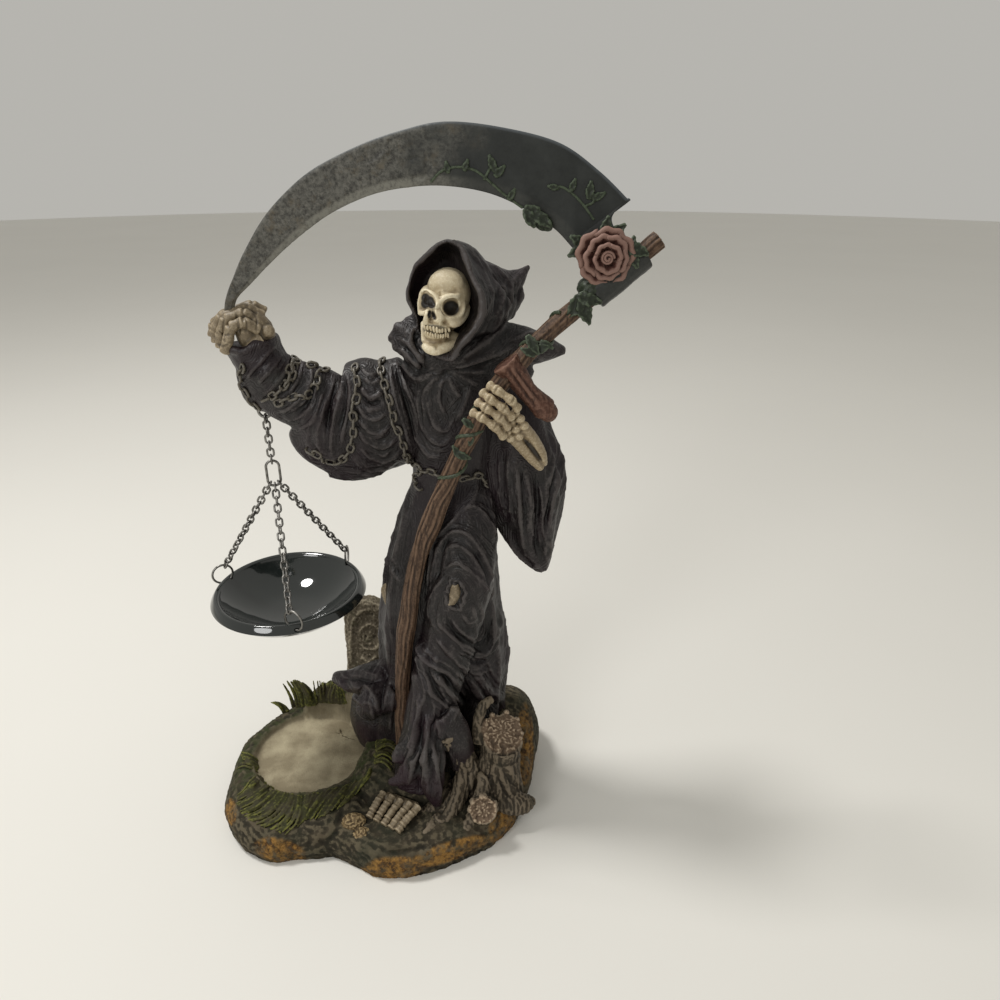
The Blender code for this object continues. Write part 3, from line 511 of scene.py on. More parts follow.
ROBE_TONES = ((0.0020, 0.0015, 0.0015), (0.0112, 0.0084, 0.0084), (0.074, 0.064, 0.061))
SKULL_TONES = ((0.12, 0.074, 0.036), (0.64, 0.55, 0.38), (0.84, 0.78, 0.60), (0.44, 0.34, 0.19))
BONE_TONES = ((0.050, 0.033, 0.017), (0.33, 0.255, 0.155), (0.62, 0.53, 0.37), (0.22, 0.155, 0.080))
TAN_BONE_TONES = ((0.034, 0.025, 0.014), (0.205, 0.158, 0.098), (0.42, 0.345, 0.235), (0.12, 0.088, 0.048))
STAFF_TONES = ((0.007, 0.005, 0.003), (0.066, 0.036, 0.021), (0.18, 0.112, 0.070))
PEG_TONES = ((0.012, 0.006, 0.004), (0.098, 0.042, 0.027), (0.22, 0.125, 0.088))


def new_node(tree, kind, inputs=None, **settings):
    made = tree.nodes.new(kind)
    for name, value in settings.items():
        setattr(made, name, value)
    for key, value in (inputs or {}).items():
        if isinstance(value, bpy.types.NodeSocket):
            tree.links.new(value, made.inputs[key])
        else:
            made.inputs[key].default_value = value
    return made


def start_look(name, roughness, metallic=0.0, specular=0.5):
    look = bpy.data.materials.new(name)
    look.use_nodes = True
    tree = look.node_tree
    shader = tree.nodes["Principled BSDF"]
    shader.inputs["Roughness"].default_value = roughness
    shader.inputs["Metallic"].default_value = metallic
    shader.inputs["Specular IOR Level"].default_value = specular
    return look, tree, shader


def place_of(tree):
    return new_node(tree, "ShaderNodeTexCoord").outputs["Object"]


def stretched(tree, scale):
    return new_node(tree, "ShaderNodeMapping", {"Vector": place_of(tree), "Scale": scale}).outputs["Vector"]


def noise(tree, scale, detail=4.0, roughness=0.55, vector=None, distortion=0.0):
    inputs = {"Scale": scale, "Detail": detail, "Roughness": roughness, "Distortion": distortion}
    inputs["Vector"] = vector or place_of(tree)
    return new_node(tree, "ShaderNodeTexNoise", inputs).outputs["Fac"]


def span(tree, value, low, high, to_low=0.0, to_high=1.0):
    """The value spread from one range to another and clamped."""
    inputs = {"Value": value, "From Min": low, "From Max": high, "To Min": to_low, "To Max": to_high}
    return new_node(tree, "ShaderNodeMapRange", inputs).outputs["Result"]


def maths(tree, operation, first, second=0.0):
    return new_node(tree, "ShaderNodeMath", {0: first, 1: second}, operation=operation).outputs[0]


def mixed(tree, share, first, second):
    """A colour between two colours."""
    made = new_node(tree, "ShaderNodeMix", data_type="RGBA")
    for key, value in ((0, share), (6, first), (7, second)):
        if isinstance(value, bpy.types.NodeSocket):
            tree.links.new(value, made.inputs[key])
        elif key == 0:
            made.inputs[key].default_value = value
        else:
            made.inputs[key].default_value = (*value, 1)
    return made.outputs[2]


def named(tree, name):
    return new_node(tree, "ShaderNodeAttribute", attribute_name=name).outputs["Fac"]


def bump(tree, shader, height, strength, distance, before=None):
    inputs = {"Height": height, "Strength": strength, "Distance": distance}
    if before is not None:
        inputs["Normal"] = before
    made = new_node(tree, "ShaderNodeBump", inputs)
    tree.links.new(made.outputs["Normal"], shader.inputs["Normal"])
    return made.outputs["Normal"]


def brushed(tree, deep, middle, light, reach=0.30, wear=0.12, breakup=900.0):
    """Paint that is dark in the hollows and dry-brushed along the ridges."""
    hollow = named(tree, "hollow")
    ridge = named(tree, "ridge")
    grain = noise(tree, breakup, 5.0, 0.7)
    fill = span(tree, hollow, -reach, reach * 0.4)
    base = mixed(tree, fill, deep, middle)
    uneven = maths(tree, "ADD", ridge, span(tree, grain, 0.3, 0.7, -wear * 0.7, wear * 0.7))
    brush = span(tree, uneven, wear * 0.15, wear)
    return mixed(tree, maths(tree, "MULTIPLY", brush, 0.75), base, light)


def plain_look(name, roughness, specular, tones, wear, grain, strength, distance):
    """Brushed paint over a fine grain."""
    look, tree, shader = start_look(name, roughness, specular=specular)
    tree.links.new(brushed(tree, *tones, wear=wear), shader.inputs["Base Color"])
    bump(tree, shader, noise(tree, *grain), strength, distance)
    return look


def robe_look():
    look, tree, shader = start_look("painted_robe", 0.42, specular=0.38)
    colour = brushed(tree, *ROBE_TONES, 0.32, 0.20)
    warp = noise(tree, 160, 3.0)
    comb = maths(tree, "MULTIPLY", named(tree, "comb"), 2.6)
    wave = maths(tree, "SINE", maths(tree, "ADD", comb, maths(tree, "MULTIPLY", warp, 8.0)))
    thread = noise(tree, 520, 3.0, 0.6, stretched(tree, (1, 1, 0.16)), 0.6)
    combed = named(tree, "combed")
    near = maths(tree, "MULTIPLY", combed, maths(tree, "MULTIPLY", wave, 0.5))
    uncombed = maths(tree, "SUBTRACT", 1.0, combed)
    far = maths(tree, "MULTIPLY", uncombed, maths(tree, "SUBTRACT", thread, 0.5))
    grooves = maths(tree, "ADD", near, maths(tree, "MULTIPLY", far, 2.4))
    scratch = span(tree, maths(tree, "ADD", grooves, noise(tree, 300, 3.0, 0.6)), 0.80, 1.05)
    colour = mixed(tree, maths(tree, "MULTIPLY", scratch, 0.26), colour, (0.076, 0.066, 0.063))
    cloud = noise(tree, 34, 3.0)
    purple = span(tree, cloud, 0.44, 0.60)
    low = maths(tree, "MULTIPLY", purple, named(tree, "hem"))
    colour = mixed(tree, maths(tree, "MULTIPLY", low, 0.75), colour, (0.022, 0.0095, 0.014))
    colour = mixed(tree, maths(tree, "MULTIPLY", purple, 0.30), colour, (0.019, 0.0075, 0.014))
    moss = span(tree, noise(tree, 55, 5.0, 0.7), 0.62, 0.74)
    colour = mixed(tree, maths(tree, "MULTIPLY", moss, 0.25), colour, (0.026, 0.030, 0.021))
    # painted light: the hollow inside the hood and the sleeve's mouth is painted lighter than the robe, as
    # if lit
    painted_hollow_light = mixed(tree, purple, (0.030, 0.024, 0.022), (0.036, 0.023, 0.028))
    colour = mixed(tree, named(tree, "inside"), colour, painted_hollow_light)
    tree.links.new(colour, shader.inputs["Base Color"])
    first = bump(tree, shader, grooves, 0.55, 0.00030)
    bump(tree, shader, noise(tree, 1400, 5.0, 0.7), 0.22, 0.0002, first)
    gloss = span(tree, noise(tree, 120, 4.0), 0.3, 0.7, 0.34, 0.56)
    tree.links.new(gloss, shader.inputs["Roughness"])
    return look


def bone_look(name, deep, middle, light, stain):
    look, tree, shader = start_look(name, 0.48, specular=0.45)
    colour = brushed(tree, deep, middle, light, reach=0.22, wear=0.10, breakup=1500.0)
    spots = span(tree, noise(tree, 420, 5.0, 0.7), 0.54, 0.68)
    colour = mixed(tree, maths(tree, "MULTIPLY", spots, 0.40), colour, stain)
    blush = span(tree, noise(tree, 120, 3.0), 0.45, 0.7)
    colour = mixed(tree, maths(tree, "MULTIPLY", blush, 0.35), colour, stain)
    # painted shade: near black in the skull's eye sockets, nose holes, cheek hollow and behind the teeth,
    # and in the forearm's groove
    colour = mixed(tree, named(tree, "dark"), colour, (0.012, 0.009, 0.006))
    tree.links.new(colour, shader.inputs["Base Color"])
    bump(tree, shader, noise(tree, 1800, 5.0, 0.7), 0.25, 0.0002)
    return look


def wood_look(name, deep, middle, light, stretch):
    look, tree, shader = start_look(name, 0.6, specular=0.3)
    colour = brushed(tree, deep, middle, light, reach=0.25, wear=0.12)
    grain = noise(tree, 900, 4.0, 0.6, stretched(tree, stretch))
    colour = mixed(tree, span(tree, grain, 0.5, 0.7, 0.0, 0.5), colour, light)
    colour = mixed(tree, span(tree, grain, 0.46, 0.34, 0.0, 0.6), colour, deep)
    tree.links.new(colour, shader.inputs["Base Color"])
    bump(tree, shader, grain, 0.5, 0.0003)
    return look


def ground_look():
    look, tree, shader = start_look("painted_ground", 0.78, specular=0.18)
    colour = brushed(tree, (0.007, 0.006, 0.004), (0.040, 0.034, 0.022), (0.135, 0.112, 0.072), wear=0.10)
    patch = noise(tree, 60, 5.0, 0.65)
    colour = mixed(tree, span(tree, patch, 0.46, 0.62, 0.0, 0.6), colour, (0.028, 0.030, 0.018))
    brown = span(tree, noise(tree, 95, 4.0, 0.6), 0.50, 0.66, 0.0, 0.6)
    colour = mixed(tree, brown, colour, (0.066, 0.050, 0.032))
    speckle = noise(tree, 380, 5.0, 0.7)
    ochre = mixed(tree, span(tree, speckle, 0.40, 0.6), (0.080, 0.034, 0.010), (0.30, 0.165, 0.044))
    worn = span(tree, noise(tree, 150, 5.0, 0.7), 0.34, 0.56)
    broken = maths(tree, "MULTIPLY", worn, span(tree, speckle, 0.28, 0.5))
    rim = maths(tree, "MULTIPLY", named(tree, "ochre"), broken)
    colour = mixed(tree, rim, colour, ochre)
    green = maths(tree, "MULTIPLY", named(tree, "green"), span(tree, noise(tree, 240, 5.0), 0.40, 0.62))
    colour = mixed(tree, green, colour, (0.040, 0.048, 0.017))
    pale = span(tree, noise(tree, 70, 4.0), 0.4, 0.65)
    chalk = mixed(tree, pale, (0.25, 0.210, 0.136), (0.43, 0.375, 0.255))
    freckle = span(tree, noise(tree, 700, 4.0, 0.7), 0.60, 0.70)
    chalk = mixed(tree, maths(tree, "MULTIPLY", freckle, 0.5), chalk, (0.15, 0.12, 0.085))
    # the recess's floor is painted darker brown towards its wall
    chalk = mixed(tree, named(tree, "darker_toward_recess_wall"), chalk, (0.070, 0.055, 0.032))
    colour = mixed(tree, named(tree, "recess"), colour, chalk)
    tree.links.new(colour, shader.inputs["Base Color"])
    bump(tree, shader, noise(tree, 1100, 6.0, 0.7), 0.6, 0.0005)
    return look


def grass_look():
    look, tree, shader = start_look("painted_grass", 0.66, specular=0.2)
    colour = brushed(tree, (0.006, 0.006, 0.002), (0.040, 0.041, 0.011), (0.175, 0.175, 0.040), wear=0.12)
    dead = span(tree, noise(tree, 110, 3.0), 0.44, 0.60, 0.0, 0.7)
    colour = mixed(tree, dead, colour, (0.046, 0.038, 0.023))
    tree.links.new(colour, shader.inputs["Base Color"])
    bump(tree, shader, noise(tree, 1500, 4.0), 0.3, 0.0003)
    return look


def ground_rock_look():
    tones = (0.020, 0.014, 0.008), (0.15, 0.10, 0.045), (0.40, 0.30, 0.16)
    return plain_look("painted_rock", 0.65, 0.3, tones, 0.12, (900, 5.0), 0.5, 0.0004)


def stump_look():
    look, tree, shader = start_look("painted_stump", 0.66, specular=0.25)
    bark = brushed(tree, (0.010, 0.008, 0.005), (0.062, 0.048, 0.032), (0.20, 0.16, 0.112), 0.42, 0.07)
    dark = span(tree, noise(tree, 130, 5.0, 0.7), 0.50, 0.66, 0.0, 0.5)
    bark = mixed(tree, dark, bark, (0.026, 0.024, 0.016))
    heart = brushed(tree, (0.024, 0.015, 0.009), (0.21, 0.145, 0.095), (0.47, 0.37, 0.26), 0.5, 0.10)
    colour = mixed(tree, named(tree, "cut"), bark, heart)
    tree.links.new(colour, shader.inputs["Base Color"])
    grain = noise(tree, 700, 6.0, 0.75)
    bump(tree, shader, grain, 0.6, 0.0004)
    return look


def stone_look():
    look, tree, shader = start_look("painted_tombstone", 0.68, specular=0.25)
    colour = brushed(tree, (0.030, 0.024, 0.016), (0.145, 0.118, 0.080), (0.33, 0.285, 0.205), wear=0.10)
    moss = span(tree, noise(tree, 130, 4.0), 0.54, 0.68, 0.0, 0.4)
    colour = mixed(tree, moss, colour, (0.060, 0.060, 0.030))
    tree.links.new(colour, shader.inputs["Base Color"])
    bump(tree, shader, noise(tree, 1200, 6.0, 0.75), 0.5, 0.0004)
    return look


def blade_look():
    look, tree, shader = start_look("painted_blade", 0.50, specular=0.32)
    worn = named(tree, "worn")
    scratchy = noise(tree, 620, 7.0, 0.78)
    cloud = noise(tree, 90, 6.0, 0.7)
    dark = mixed(tree, span(tree, cloud, 0.35, 0.65), (0.016, 0.018, 0.017), (0.030, 0.033, 0.031))
    steel = mixed(tree, span(tree, scratchy, 0.38, 0.62), (0.030, 0.029, 0.025), (0.145, 0.140, 0.122))
    tan = span(tree, noise(tree, 210, 5.0, 0.7), 0.52, 0.66, 0.0, 0.55)
    steel = mixed(tree, tan, steel, (0.110, 0.088, 0.056))
    colour = mixed(tree, worn, dark, steel)
    edge = maths(tree, "MULTIPLY", named(tree, "edge"), span(tree, scratchy, 0.35, 0.55, 0.3, 0.8))
    colour = mixed(tree, edge, colour, (0.22, 0.215, 0.185))
    # painted highlight: a thin bluish-grey line along the blade's back
    colour = mixed(tree, maths(tree, "MULTIPLY", named(tree, "painted_spine_highlight"), 0.7), colour, (0.105, 0.118, 0.130))
    tree.links.new(colour, shader.inputs["Base Color"])
    bump(tree, shader, scratchy, 0.3, 0.0003)
    return look


def leaf_look():
    tones = (0.005, 0.007, 0.004), (0.020, 0.028, 0.015), (0.085, 0.11, 0.068)
    return plain_look("painted_leaves", 0.5, 0.35, tones, 0.09, (1300, 4.0), 0.3, 0.0002)


def rose_look():
    tones = (0.016, 0.006, 0.005), (0.135, 0.062, 0.049), (0.27, 0.165, 0.132)
    return plain_look("painted_rose", 0.55, 0.3, tones, 0.14, (1300, 4.0), 0.25, 0.0002)


def glaze_look():
    look, tree, shader = start_look("black_glaze", 0.06, specular=0.6)
    shader.inputs["Base Color"].default_value = (0.010, 0.013, 0.012, 1)
    shader.inputs["Coat Weight"].default_value = 0.6
    shader.inputs["Coat Roughness"].default_value = 0.03
    smear = span(tree, noise(tree, 45, 3.0), 0.35, 0.7, 0.05, 0.14)
    tree.links.new(smear, shader.inputs["Roughness"])
    bump(tree, shader, noise(tree, 60, 2.0), 0.06, 0.0008)
    return look


def wire_look():
    look, tree, shader = start_look("chain_metal", 0.34, 1.0)
    tarnish = noise(tree, 500, 4.0, 0.6)
    colour = mixed(tree, span(tree, tarnish, 0.35, 0.65), (0.12, 0.115, 0.105), (0.34, 0.33, 0.31))
    tree.links.new(colour, shader.inputs["Base Color"])
    tree.links.new(span(tree, tarnish, 0.3, 0.7, 0.28, 0.48), shader.inputs["Roughness"])
    return look


def cast_chain_look():
    look, tree, shader = start_look("painted_chain", 0.36, specular=0.6)
    colour = brushed(tree, (0.004, 0.0035, 0.003), (0.017, 0.015, 0.012), (0.135, 0.118, 0.090), 0.3, 0.09)
    tree.links.new(colour, shader.inputs["Base Color"])
    return look


# The robe


ROBE = [
    (8, 25, 10, 37, 19, 0.09),
    (24, 25, 9, 35, 18, 0.11),
    (40, 26, 8, 33, 17, 0.13),
    (54, 28, 7, 32, 17, 0.13),
    (68, 31, 5, 30, 17, 0.12),
    (86, 31, 3, 29, 17, 0.10),
    (105, 31, 1, 26.8, 17.5, 0.09),
    (126, 32.2, 1, 24.2, 18, 0.08),
    (146, 35, 1, 21.2, 16, 0.07),
    (165, 39, 1, 18, 13.5, 0.05),
    (177, 40, 1, 18, 13.5, 0.04),
    (191, 41, 1, 20, 14.5, 0.05),
    (205, 41, 1, 21.5, 15, 0.04),
    (216, 41, 1, 20.5, 14, 0.03),
    (225, 41, 2, 15, 12.5, 0.03),
    (233, 41, 3, 9, 9, 0.02),
]
FOLDS = [
    (-178, -172, 0.9),
    (-150, -140, 0.8),
    (-118, -112, 0.9),
    (-92, -84, 0.5),
    (-62, -58, 0.8),
    (-30, -28, 0.8),
    (2, 6, 0.9),
    (36, 40, 0.8),
    (68, 66, 1.0),
    (96, 100, 0.8),
    (128, 132, 1.0),
    (156, 160, 0.8),
]


def fold_height(angle, share):
    """How far folds push a body out at an angle in degrees, at a share of the way up."""
    height = 0.0
    for top, hem, depth in FOLDS:
        middle = hem + (top - hem) * share + 3 * math.sin(9 * share + top)
        away = (angle - middle + 180) % 360 - 180
        height += depth * math.exp(-((abs(away) / 9.0) ** 1.6))
    return height - 0.45


def robe_body(around=150, up=90):
    loops = []
    for k in range(up + 1):
        share = k / up
        z, cx, cy, half_x, half_y, depth = smooth_row(ROBE, share)
        loop = []
        for i in range(around):
            angle = 2 * math.pi * i / around
            out = 1 + depth * fold_height(math.degrees(angle), share)
            loop.append(at((cx + half_x * out * math.cos(angle), cy + half_y * out * math.sin(angle), z)))
        loops.append(loop)
    return loft(loops)


KNEE = [(44, 0, 162), (43, -9, 142), (41.5, -13, 124), (34, -14, 90), (24, -18, 50), (20, -22, 20)]
KNEE_RADII = [13, 13.5, 13.5, 12, 11, 13]


def knee():
    return [limb(KNEE, KNEE_RADII)]


TAIL = (-3, 11, 30), (15, 13, 24)
HEM_FORMS = [
    ([(425, 672, -18), (424, 705, -23), (417, 735, -27), (398, 758, -28)], [6, 6, 5, 3.4]),
    ([(424, 712, -24), (424, 745, -30), (414, 768, -33), (400, 779, -34), (389, 783, -34)],
     [6, 6.5, 4.6, 3.0, 1.3]),
    ([(428, 730, -28), (431, 762, -34), (433, 788, -36), (438, 805, -37)], [5, 6.4, 5.0, 2.0]),
    ([(440, 715, -24), (456, 735, -26), (462, 762, -24)], [8, 7, 6]),
    ([(392, 672, 4), (372, 678, 6), (352, 680, 10), (334, 677, 14)], [8, 8, 6, 2.5]),
    ([(396, 690, -2), (376, 700, -4), (366, 712, -4)], [9, 8, 6]),
]


def hem():
    """Cloth that pools on the ground: the tail to the left and the lobes in front."""
    return [blob(*TAIL)] + pictured(HEM_FORMS)


# The hood's mouth, as pixels and depths
HOOD_RIM = [
    (446, 239, -9),
    (437, 243, -9),
    (425, 253.5, -9),
    (414, 265, -9),
    (409.5, 278, -9),
    (406, 291, -9),
    (406.5, 300, -9),
    (411, 309, -9),
    (415.5, 318, -8.5),
    (418, 334, -9),
    (430, 352, -14),
    (449, 359, -19),
    (462, 345, -20),
    (474, 331, -19),
    (482, 315, -18),
    (483, 301, -17.5),
    (480, 291, -17),
    (474, 280, -16),
    (468, 265, -14),
    (461, 246.5, -11.5),
    (452, 240, -10),
]


def hood_loop(grow, push, drift):
    """The hood's mouth moved back by push, grown to the right by drift pixels and scaled."""
    rim = np.array(HOOD_RIM, float)
    middle = rim[:, :2].mean(axis=0)
    loop = []
    for u, v, y in rim:
        right = max(0.0, (u - 440) / 42) * max(0.2, min(1.0, (v - 236) / 30))
        place = middle + (np.array([u, v]) - middle) * grow
        loop.append(at(spot(place[0] + drift * right, place[1], y + push)))
    return loop


def hood_shell():
    """The hood's shell from its mouth back round the head."""
    return loft([
        hood_loop(0.97, -0.6, 0),
        hood_loop(1.0, 0.6, 1),
        hood_loop(1.0, 8, 12),
        hood_loop(1.0, 16, 24),
        hood_loop(0.92, 22, 26),
        hood_loop(0.6, 27, 20),
    ])


def hood():
    return [
        hood_shell(),
        blob((40.4, 4.5, 240), (15.6, 16, 20.6)),
        limb([(48, 9, 243), (57, 14, 242.5), (64, 17, 244.5), (70, 18.5, 249.5)], [11, 8, 4.2, 1.0]),
        limb([(52, 10, 238), (60, 15, 236), (67, 17, 240)], [11, 7, 2.2]),
        blob((40, -1, 221), (21, 15, 9.5)),
        limb([(46, 0, 220), (62, 3, 221), (74, 4, 220), (84, 4, 219)], [10, 9, 6, 1.5]),
        limb([(52, 2, 216), (64, 3, 213), (71, 4, 209)], [8, 6, 2]),
    ]


def hood_opening():
    """The hollow of the hood in front of and beside the skull."""
    return [loft([
        hood_loop(1.03, -18, 0),
        hood_loop(0.95, -1.5, 0),
        hood_loop(0.88, 4, -1),
        hood_loop(0.80, 9, -2),
        hood_loop(0.60, 13, 0),
    ])]


def hood_rim():
    """A thin rolled edge on the right of the hood's mouth."""
    right = [spot(u, v, y - 0.2) for u, v, y in HOOD_RIM[-1:9:-1]]
    return [limb(right, [0.9] * len(right))]


HOOD_HOLLOW = (38.5, -3.0, 238.0), (14.0, 14.0, 19.5)


def hood_hollow(skin):
    """How deep in the hood each point lies, from 0 at its mouth to 1 beside the skull; it masks the painted
    light inside the hood.
    """
    points, normals = arrays(skin)
    local = points / UNIT
    middle, radii = (np.array(row) for row in HOOD_HOLLOW)
    away = local - middle
    near = np.linalg.norm(away / radii, axis=1)
    turned_in = np.einsum("ij,ij->i", normals, -away) / np.maximum(np.linalg.norm(away, axis=1), 1e-6)
    deep = np.clip((local[:, 1] + 14) / 8, 0, 1)
    return np.clip((1.06 - near) * 6, 0, 1) * np.clip(turned_in * 3, 0, 1) * deep


TORN_KNEE = (455, 596)


def tear_knee(skin):
    """Sinks the shallow ragged hole at the knee."""
    points, normals = arrays(skin)
    flat = seen(points)
    away = np.hypot((flat[:, 0] - TORN_KNEE[0]) / 8.5, (flat[:, 1] - TORN_KNEE[1]) / 12.5)
    ragged = away + 0.30 * waves(points, 3.6, 9, 2)
    front = facing(points, normals) > 0
    sink = np.clip((1 - ragged) * 4, 0, 1) * 1.3
    rim = np.exp(-(((ragged - 1.15) / 0.16) ** 2)) * 0.8
    put(skin, points + normals * ((rim - sink) * front * UNIT)[:, None])


# The torn collar that stands up at the left shoulder
RUFFLE = [
    ([(421, 331, -6), (412, 322, -4), (404, 321, -3)], [3.2, 2.6, 1.4]),
    ([(415, 340, -8), (402, 330, -5), (394, 326, -4)], [4, 3.2, 1.8]),
    ([(418, 350, -9), (402, 341, -6), (390, 336, -4)], [4.6, 3.6, 2.0]),
    ([(424, 360, -12), (408, 350, -9), (394, 345, -6)], [4, 3.4, 2.2]),
]
ROBE_STROKES = [
    (2.4, 0.9, [(452, 241), (461, 246), (467, 259), (469, 270), (474, 280), (480, 292), (482, 302),
                (482, 314), (474, 330), (462, 343), (452, 357)]),
    (2.4, 1.2, [(463, 246), (472, 254), (479, 266), (487, 282), (492, 300), (489, 318), (479, 336),
                (463, 352)]),
    (2.4, 1.2, [(474, 252), (481, 259), (486, 268), (494, 280), (500, 292), (500, 306), (492, 326),
                (476, 344)]),
    (2.2, 1.1, [(488, 260), (496, 269), (506, 280), (508, 294), (502, 312), (490, 332)]),
    (2.2, 1.2, [(529, 266), (519, 274), (509, 286), (507, 304), (498, 324), (483, 342), (462, 359)]),
    (2.0, 1.1, [(526, 270), (517, 284), (513, 300), (505, 319), (494, 336), (476, 352)]),
    (2.0, 1.1, [(524, 286), (518, 302), (508, 322), (496, 340)]),
    (2.4, -1.4, [(498, 286), (495, 304), (485, 324), (469, 344)]),
    (2.4, 0.9, [(419, 266), (425, 257), (433, 251), (440, 250)]),
    (2.2, 1.2, [(418, 323), (412, 334), (413, 344), (418, 352), (428, 366)]),
    (2.2, 1.2, [(398, 338), (407, 343), (412, 350), (418, 357), (427, 368)]),
    (2.2, 1.2, [(396, 350), (406, 351), (412, 358), (420, 366), (428, 371)]),
    (2.0, -1.4, [(402, 346), (410, 352), (417, 361), (426, 369)]),
    (2.0, -1.4, [(415, 330), (416, 345), (424, 358)]),
    (2.6, 1.4, [(395, 357), (404, 366), (416, 378), (432, 372), (447, 369)]),
    (2.4, 1.2, [(445, 371), (434, 373), (425, 379), (417, 379)]),
    (2.2, 1.2, [(446, 373), (436, 379), (427, 388), (424, 402), (430, 415)]),
    (2.0, 1.1, [(447, 374), (441, 386), (440, 402), (446, 416)]),
    (2.0, 1.1, [(448, 374), (453, 388), (462, 398)]),
    (2.2, 1.2, [(449, 372), (462, 376), (478, 386)]),
    (2.4, 1.3, [(449, 370), (468, 371), (488, 372)]),
    (2.4, 1.4, [(449, 368), (470, 363), (494, 356), (514, 345)]),
    (2.4, 1.3, [(449, 366), (466, 356), (486, 344), (504, 328)]),
    (2.2, 1.3, [(447, 365), (460, 354), (476, 340)]),
    (2.2, -1.3, [(452, 369), (474, 366), (498, 358)]),
    (2.6, 1.4, [(517, 338), (532, 334), (548, 342), (562, 352)]),
    (2.4, 1.2, [(515, 350), (530, 352), (545, 360)]),
    (2.4, 1.2, [(421, 386), (419, 404), (422, 424), (432, 440), (445, 444), (455, 428)]),
    (2.4, 1.2, [(414, 396), (412, 418), (418, 440), (430, 455), (444, 458)]),
    (2.2, 1.0, [(430, 392), (430, 410), (436, 426), (447, 430), (454, 414)]),
    (2.2, 1.0, [(408, 380), (405, 400), (406, 424), (412, 446)]),
    (2.4, 1.1, [(470, 384), (465, 403), (458, 420)]),
    (2.4, 1.1, [(404, 372), (398, 392), (400, 414), (407, 440)]),
    (2.6, 2.0, [(463, 508), (449, 526), (436, 539), (431, 561), (429, 585), (428, 607)]),
    (2.6, 1.7, [(464, 507), (478, 508), (491, 525), (497, 545)]),
    (2.4, 1.8, [(440, 538), (455, 531), (466, 533), (475, 543), (485, 560), (491, 578), (491, 594),
                (484, 608)]),
    (2.2, 1.4, [(441, 552), (455, 545), (467, 551), (478, 566), (485, 584), (484, 600)]),
    (2.4, 1.4, [(443, 570), (456, 563), (468, 569), (481, 581), (491, 594)]),
    (2.4, 1.4, [(446, 576), (436, 589), (430, 607), (432, 624)]),
    (2.4, 1.9, [(440, 606), (440, 622), (450, 634), (463, 643), (477, 652), (488, 648), (496, 632),
                (500, 609)]),
    (2.2, 1.5, [(452, 618), (460, 630), (471, 637), (480, 630), (481, 612), (476, 598)]),
    (2.0, 1.2, [(462, 612), (468, 622), (474, 618), (472, 604)]),
    (2.4, -1.5, [(448, 538), (440, 556), (437, 580)]),
    (2.4, -1.5, [(474, 550), (483, 568), (487, 590)]),
    (2.4, -1.6, [(446, 612), (449, 626), (462, 639), (476, 645), (486, 637), (491, 617)]),
    (2.6, 2.0, [(419, 638), (424, 653), (434, 664), (447, 671), (462, 690)]),
    (2.4, 1.8, [(434, 636), (448, 648), (460, 664), (472, 686), (483, 704)]),
    (2.2, 1.5, [(448, 640), (462, 654), (472, 670), (484, 690), (497, 700)]),
    (2.4, 1.6, [(418, 650), (421, 670), (428, 687), (440, 700)]),
    (2.2, -1.4, [(427, 650), (436, 668), (452, 684)]),
    (2.2, 1.5, [(470, 661), (480, 676), (492, 690), (502, 694)]),
    (2.2, 1.2, [(485, 656), (492, 672), (501, 684)]),
    (2.4, 1.2, [(400, 503), (392, 516), (388, 530), (394, 540)]),
    (2.4, 1.2, [(383, 553), (391, 566), (402, 584)]),
    (2.4, 1.2, [(407, 500), (404, 522), (397, 548), (391, 570)]),
    (2.2, 1.1, [(396, 560), (391, 590), (391, 622), (395, 650)]),
    (2.2, 1.1, [(384, 610), (388, 640), (389, 668)]),
    (2.6, 1.8, [(421, 672), (426, 690), (419, 715), (416, 740), (410, 760), (397, 774)]),
    (2.4, 1.6, [(430, 688), (434, 706), (428, 730), (424, 755), (418, 774)]),
    (2.4, 1.5, [(434, 673), (447, 689), (455, 706), (452, 724)]),
    (2.4, -1.8, [(424, 702), (421, 728), (417, 750), (404, 768)]),
    (2.2, 1.4, [(400, 736), (397, 752), (393, 768)]),
    (2.4, -1.6, [(440, 672), (455, 690), (466, 706)]),
    (2.4, 1.3, [(438, 700), (438, 720), (440, 744), (437, 770)]),
    (2.4, 1.4, [(426, 752), (430, 772), (428, 796)]),
    (2.4, 1.4, [(414, 756), (411, 774), (407, 788)]),
    (2.4, -1.5, [(420, 760), (420, 780), (418, 795)]),
    (2.4, 1.5, [(469, 673), (479, 693), (484, 708)]),
    (2.2, 1.3, [(500, 694), (504, 707), (511, 720)]),
    (2.4, 1.3, [(331, 675), (348, 672), (365, 672), (384, 676)]),
    (2.4, -1.2, [(340, 681), (358, 680), (378, 684)]),
    (2.4, 1.4, [(352, 688), (367, 687), (376, 696), (378, 712)]),
    (2.4, 1.3, [(362, 702), (374, 703), (384, 712)]),
    (2.2, 1.1, [(384, 660), (376, 672), (370, 690)]),
    (2.4, 1.0, [(478, 480), (474, 498), (462, 512)]),
    (2.4, 1.0, [(489, 486), (490, 505), (496, 530)]),
    (2.4, 1.1, [(503, 560), (505, 600), (509, 640), (506, 672)]),
    (2.2, 1.0, [(495, 600), (499, 625), (500, 655), (497, 685)]),
]
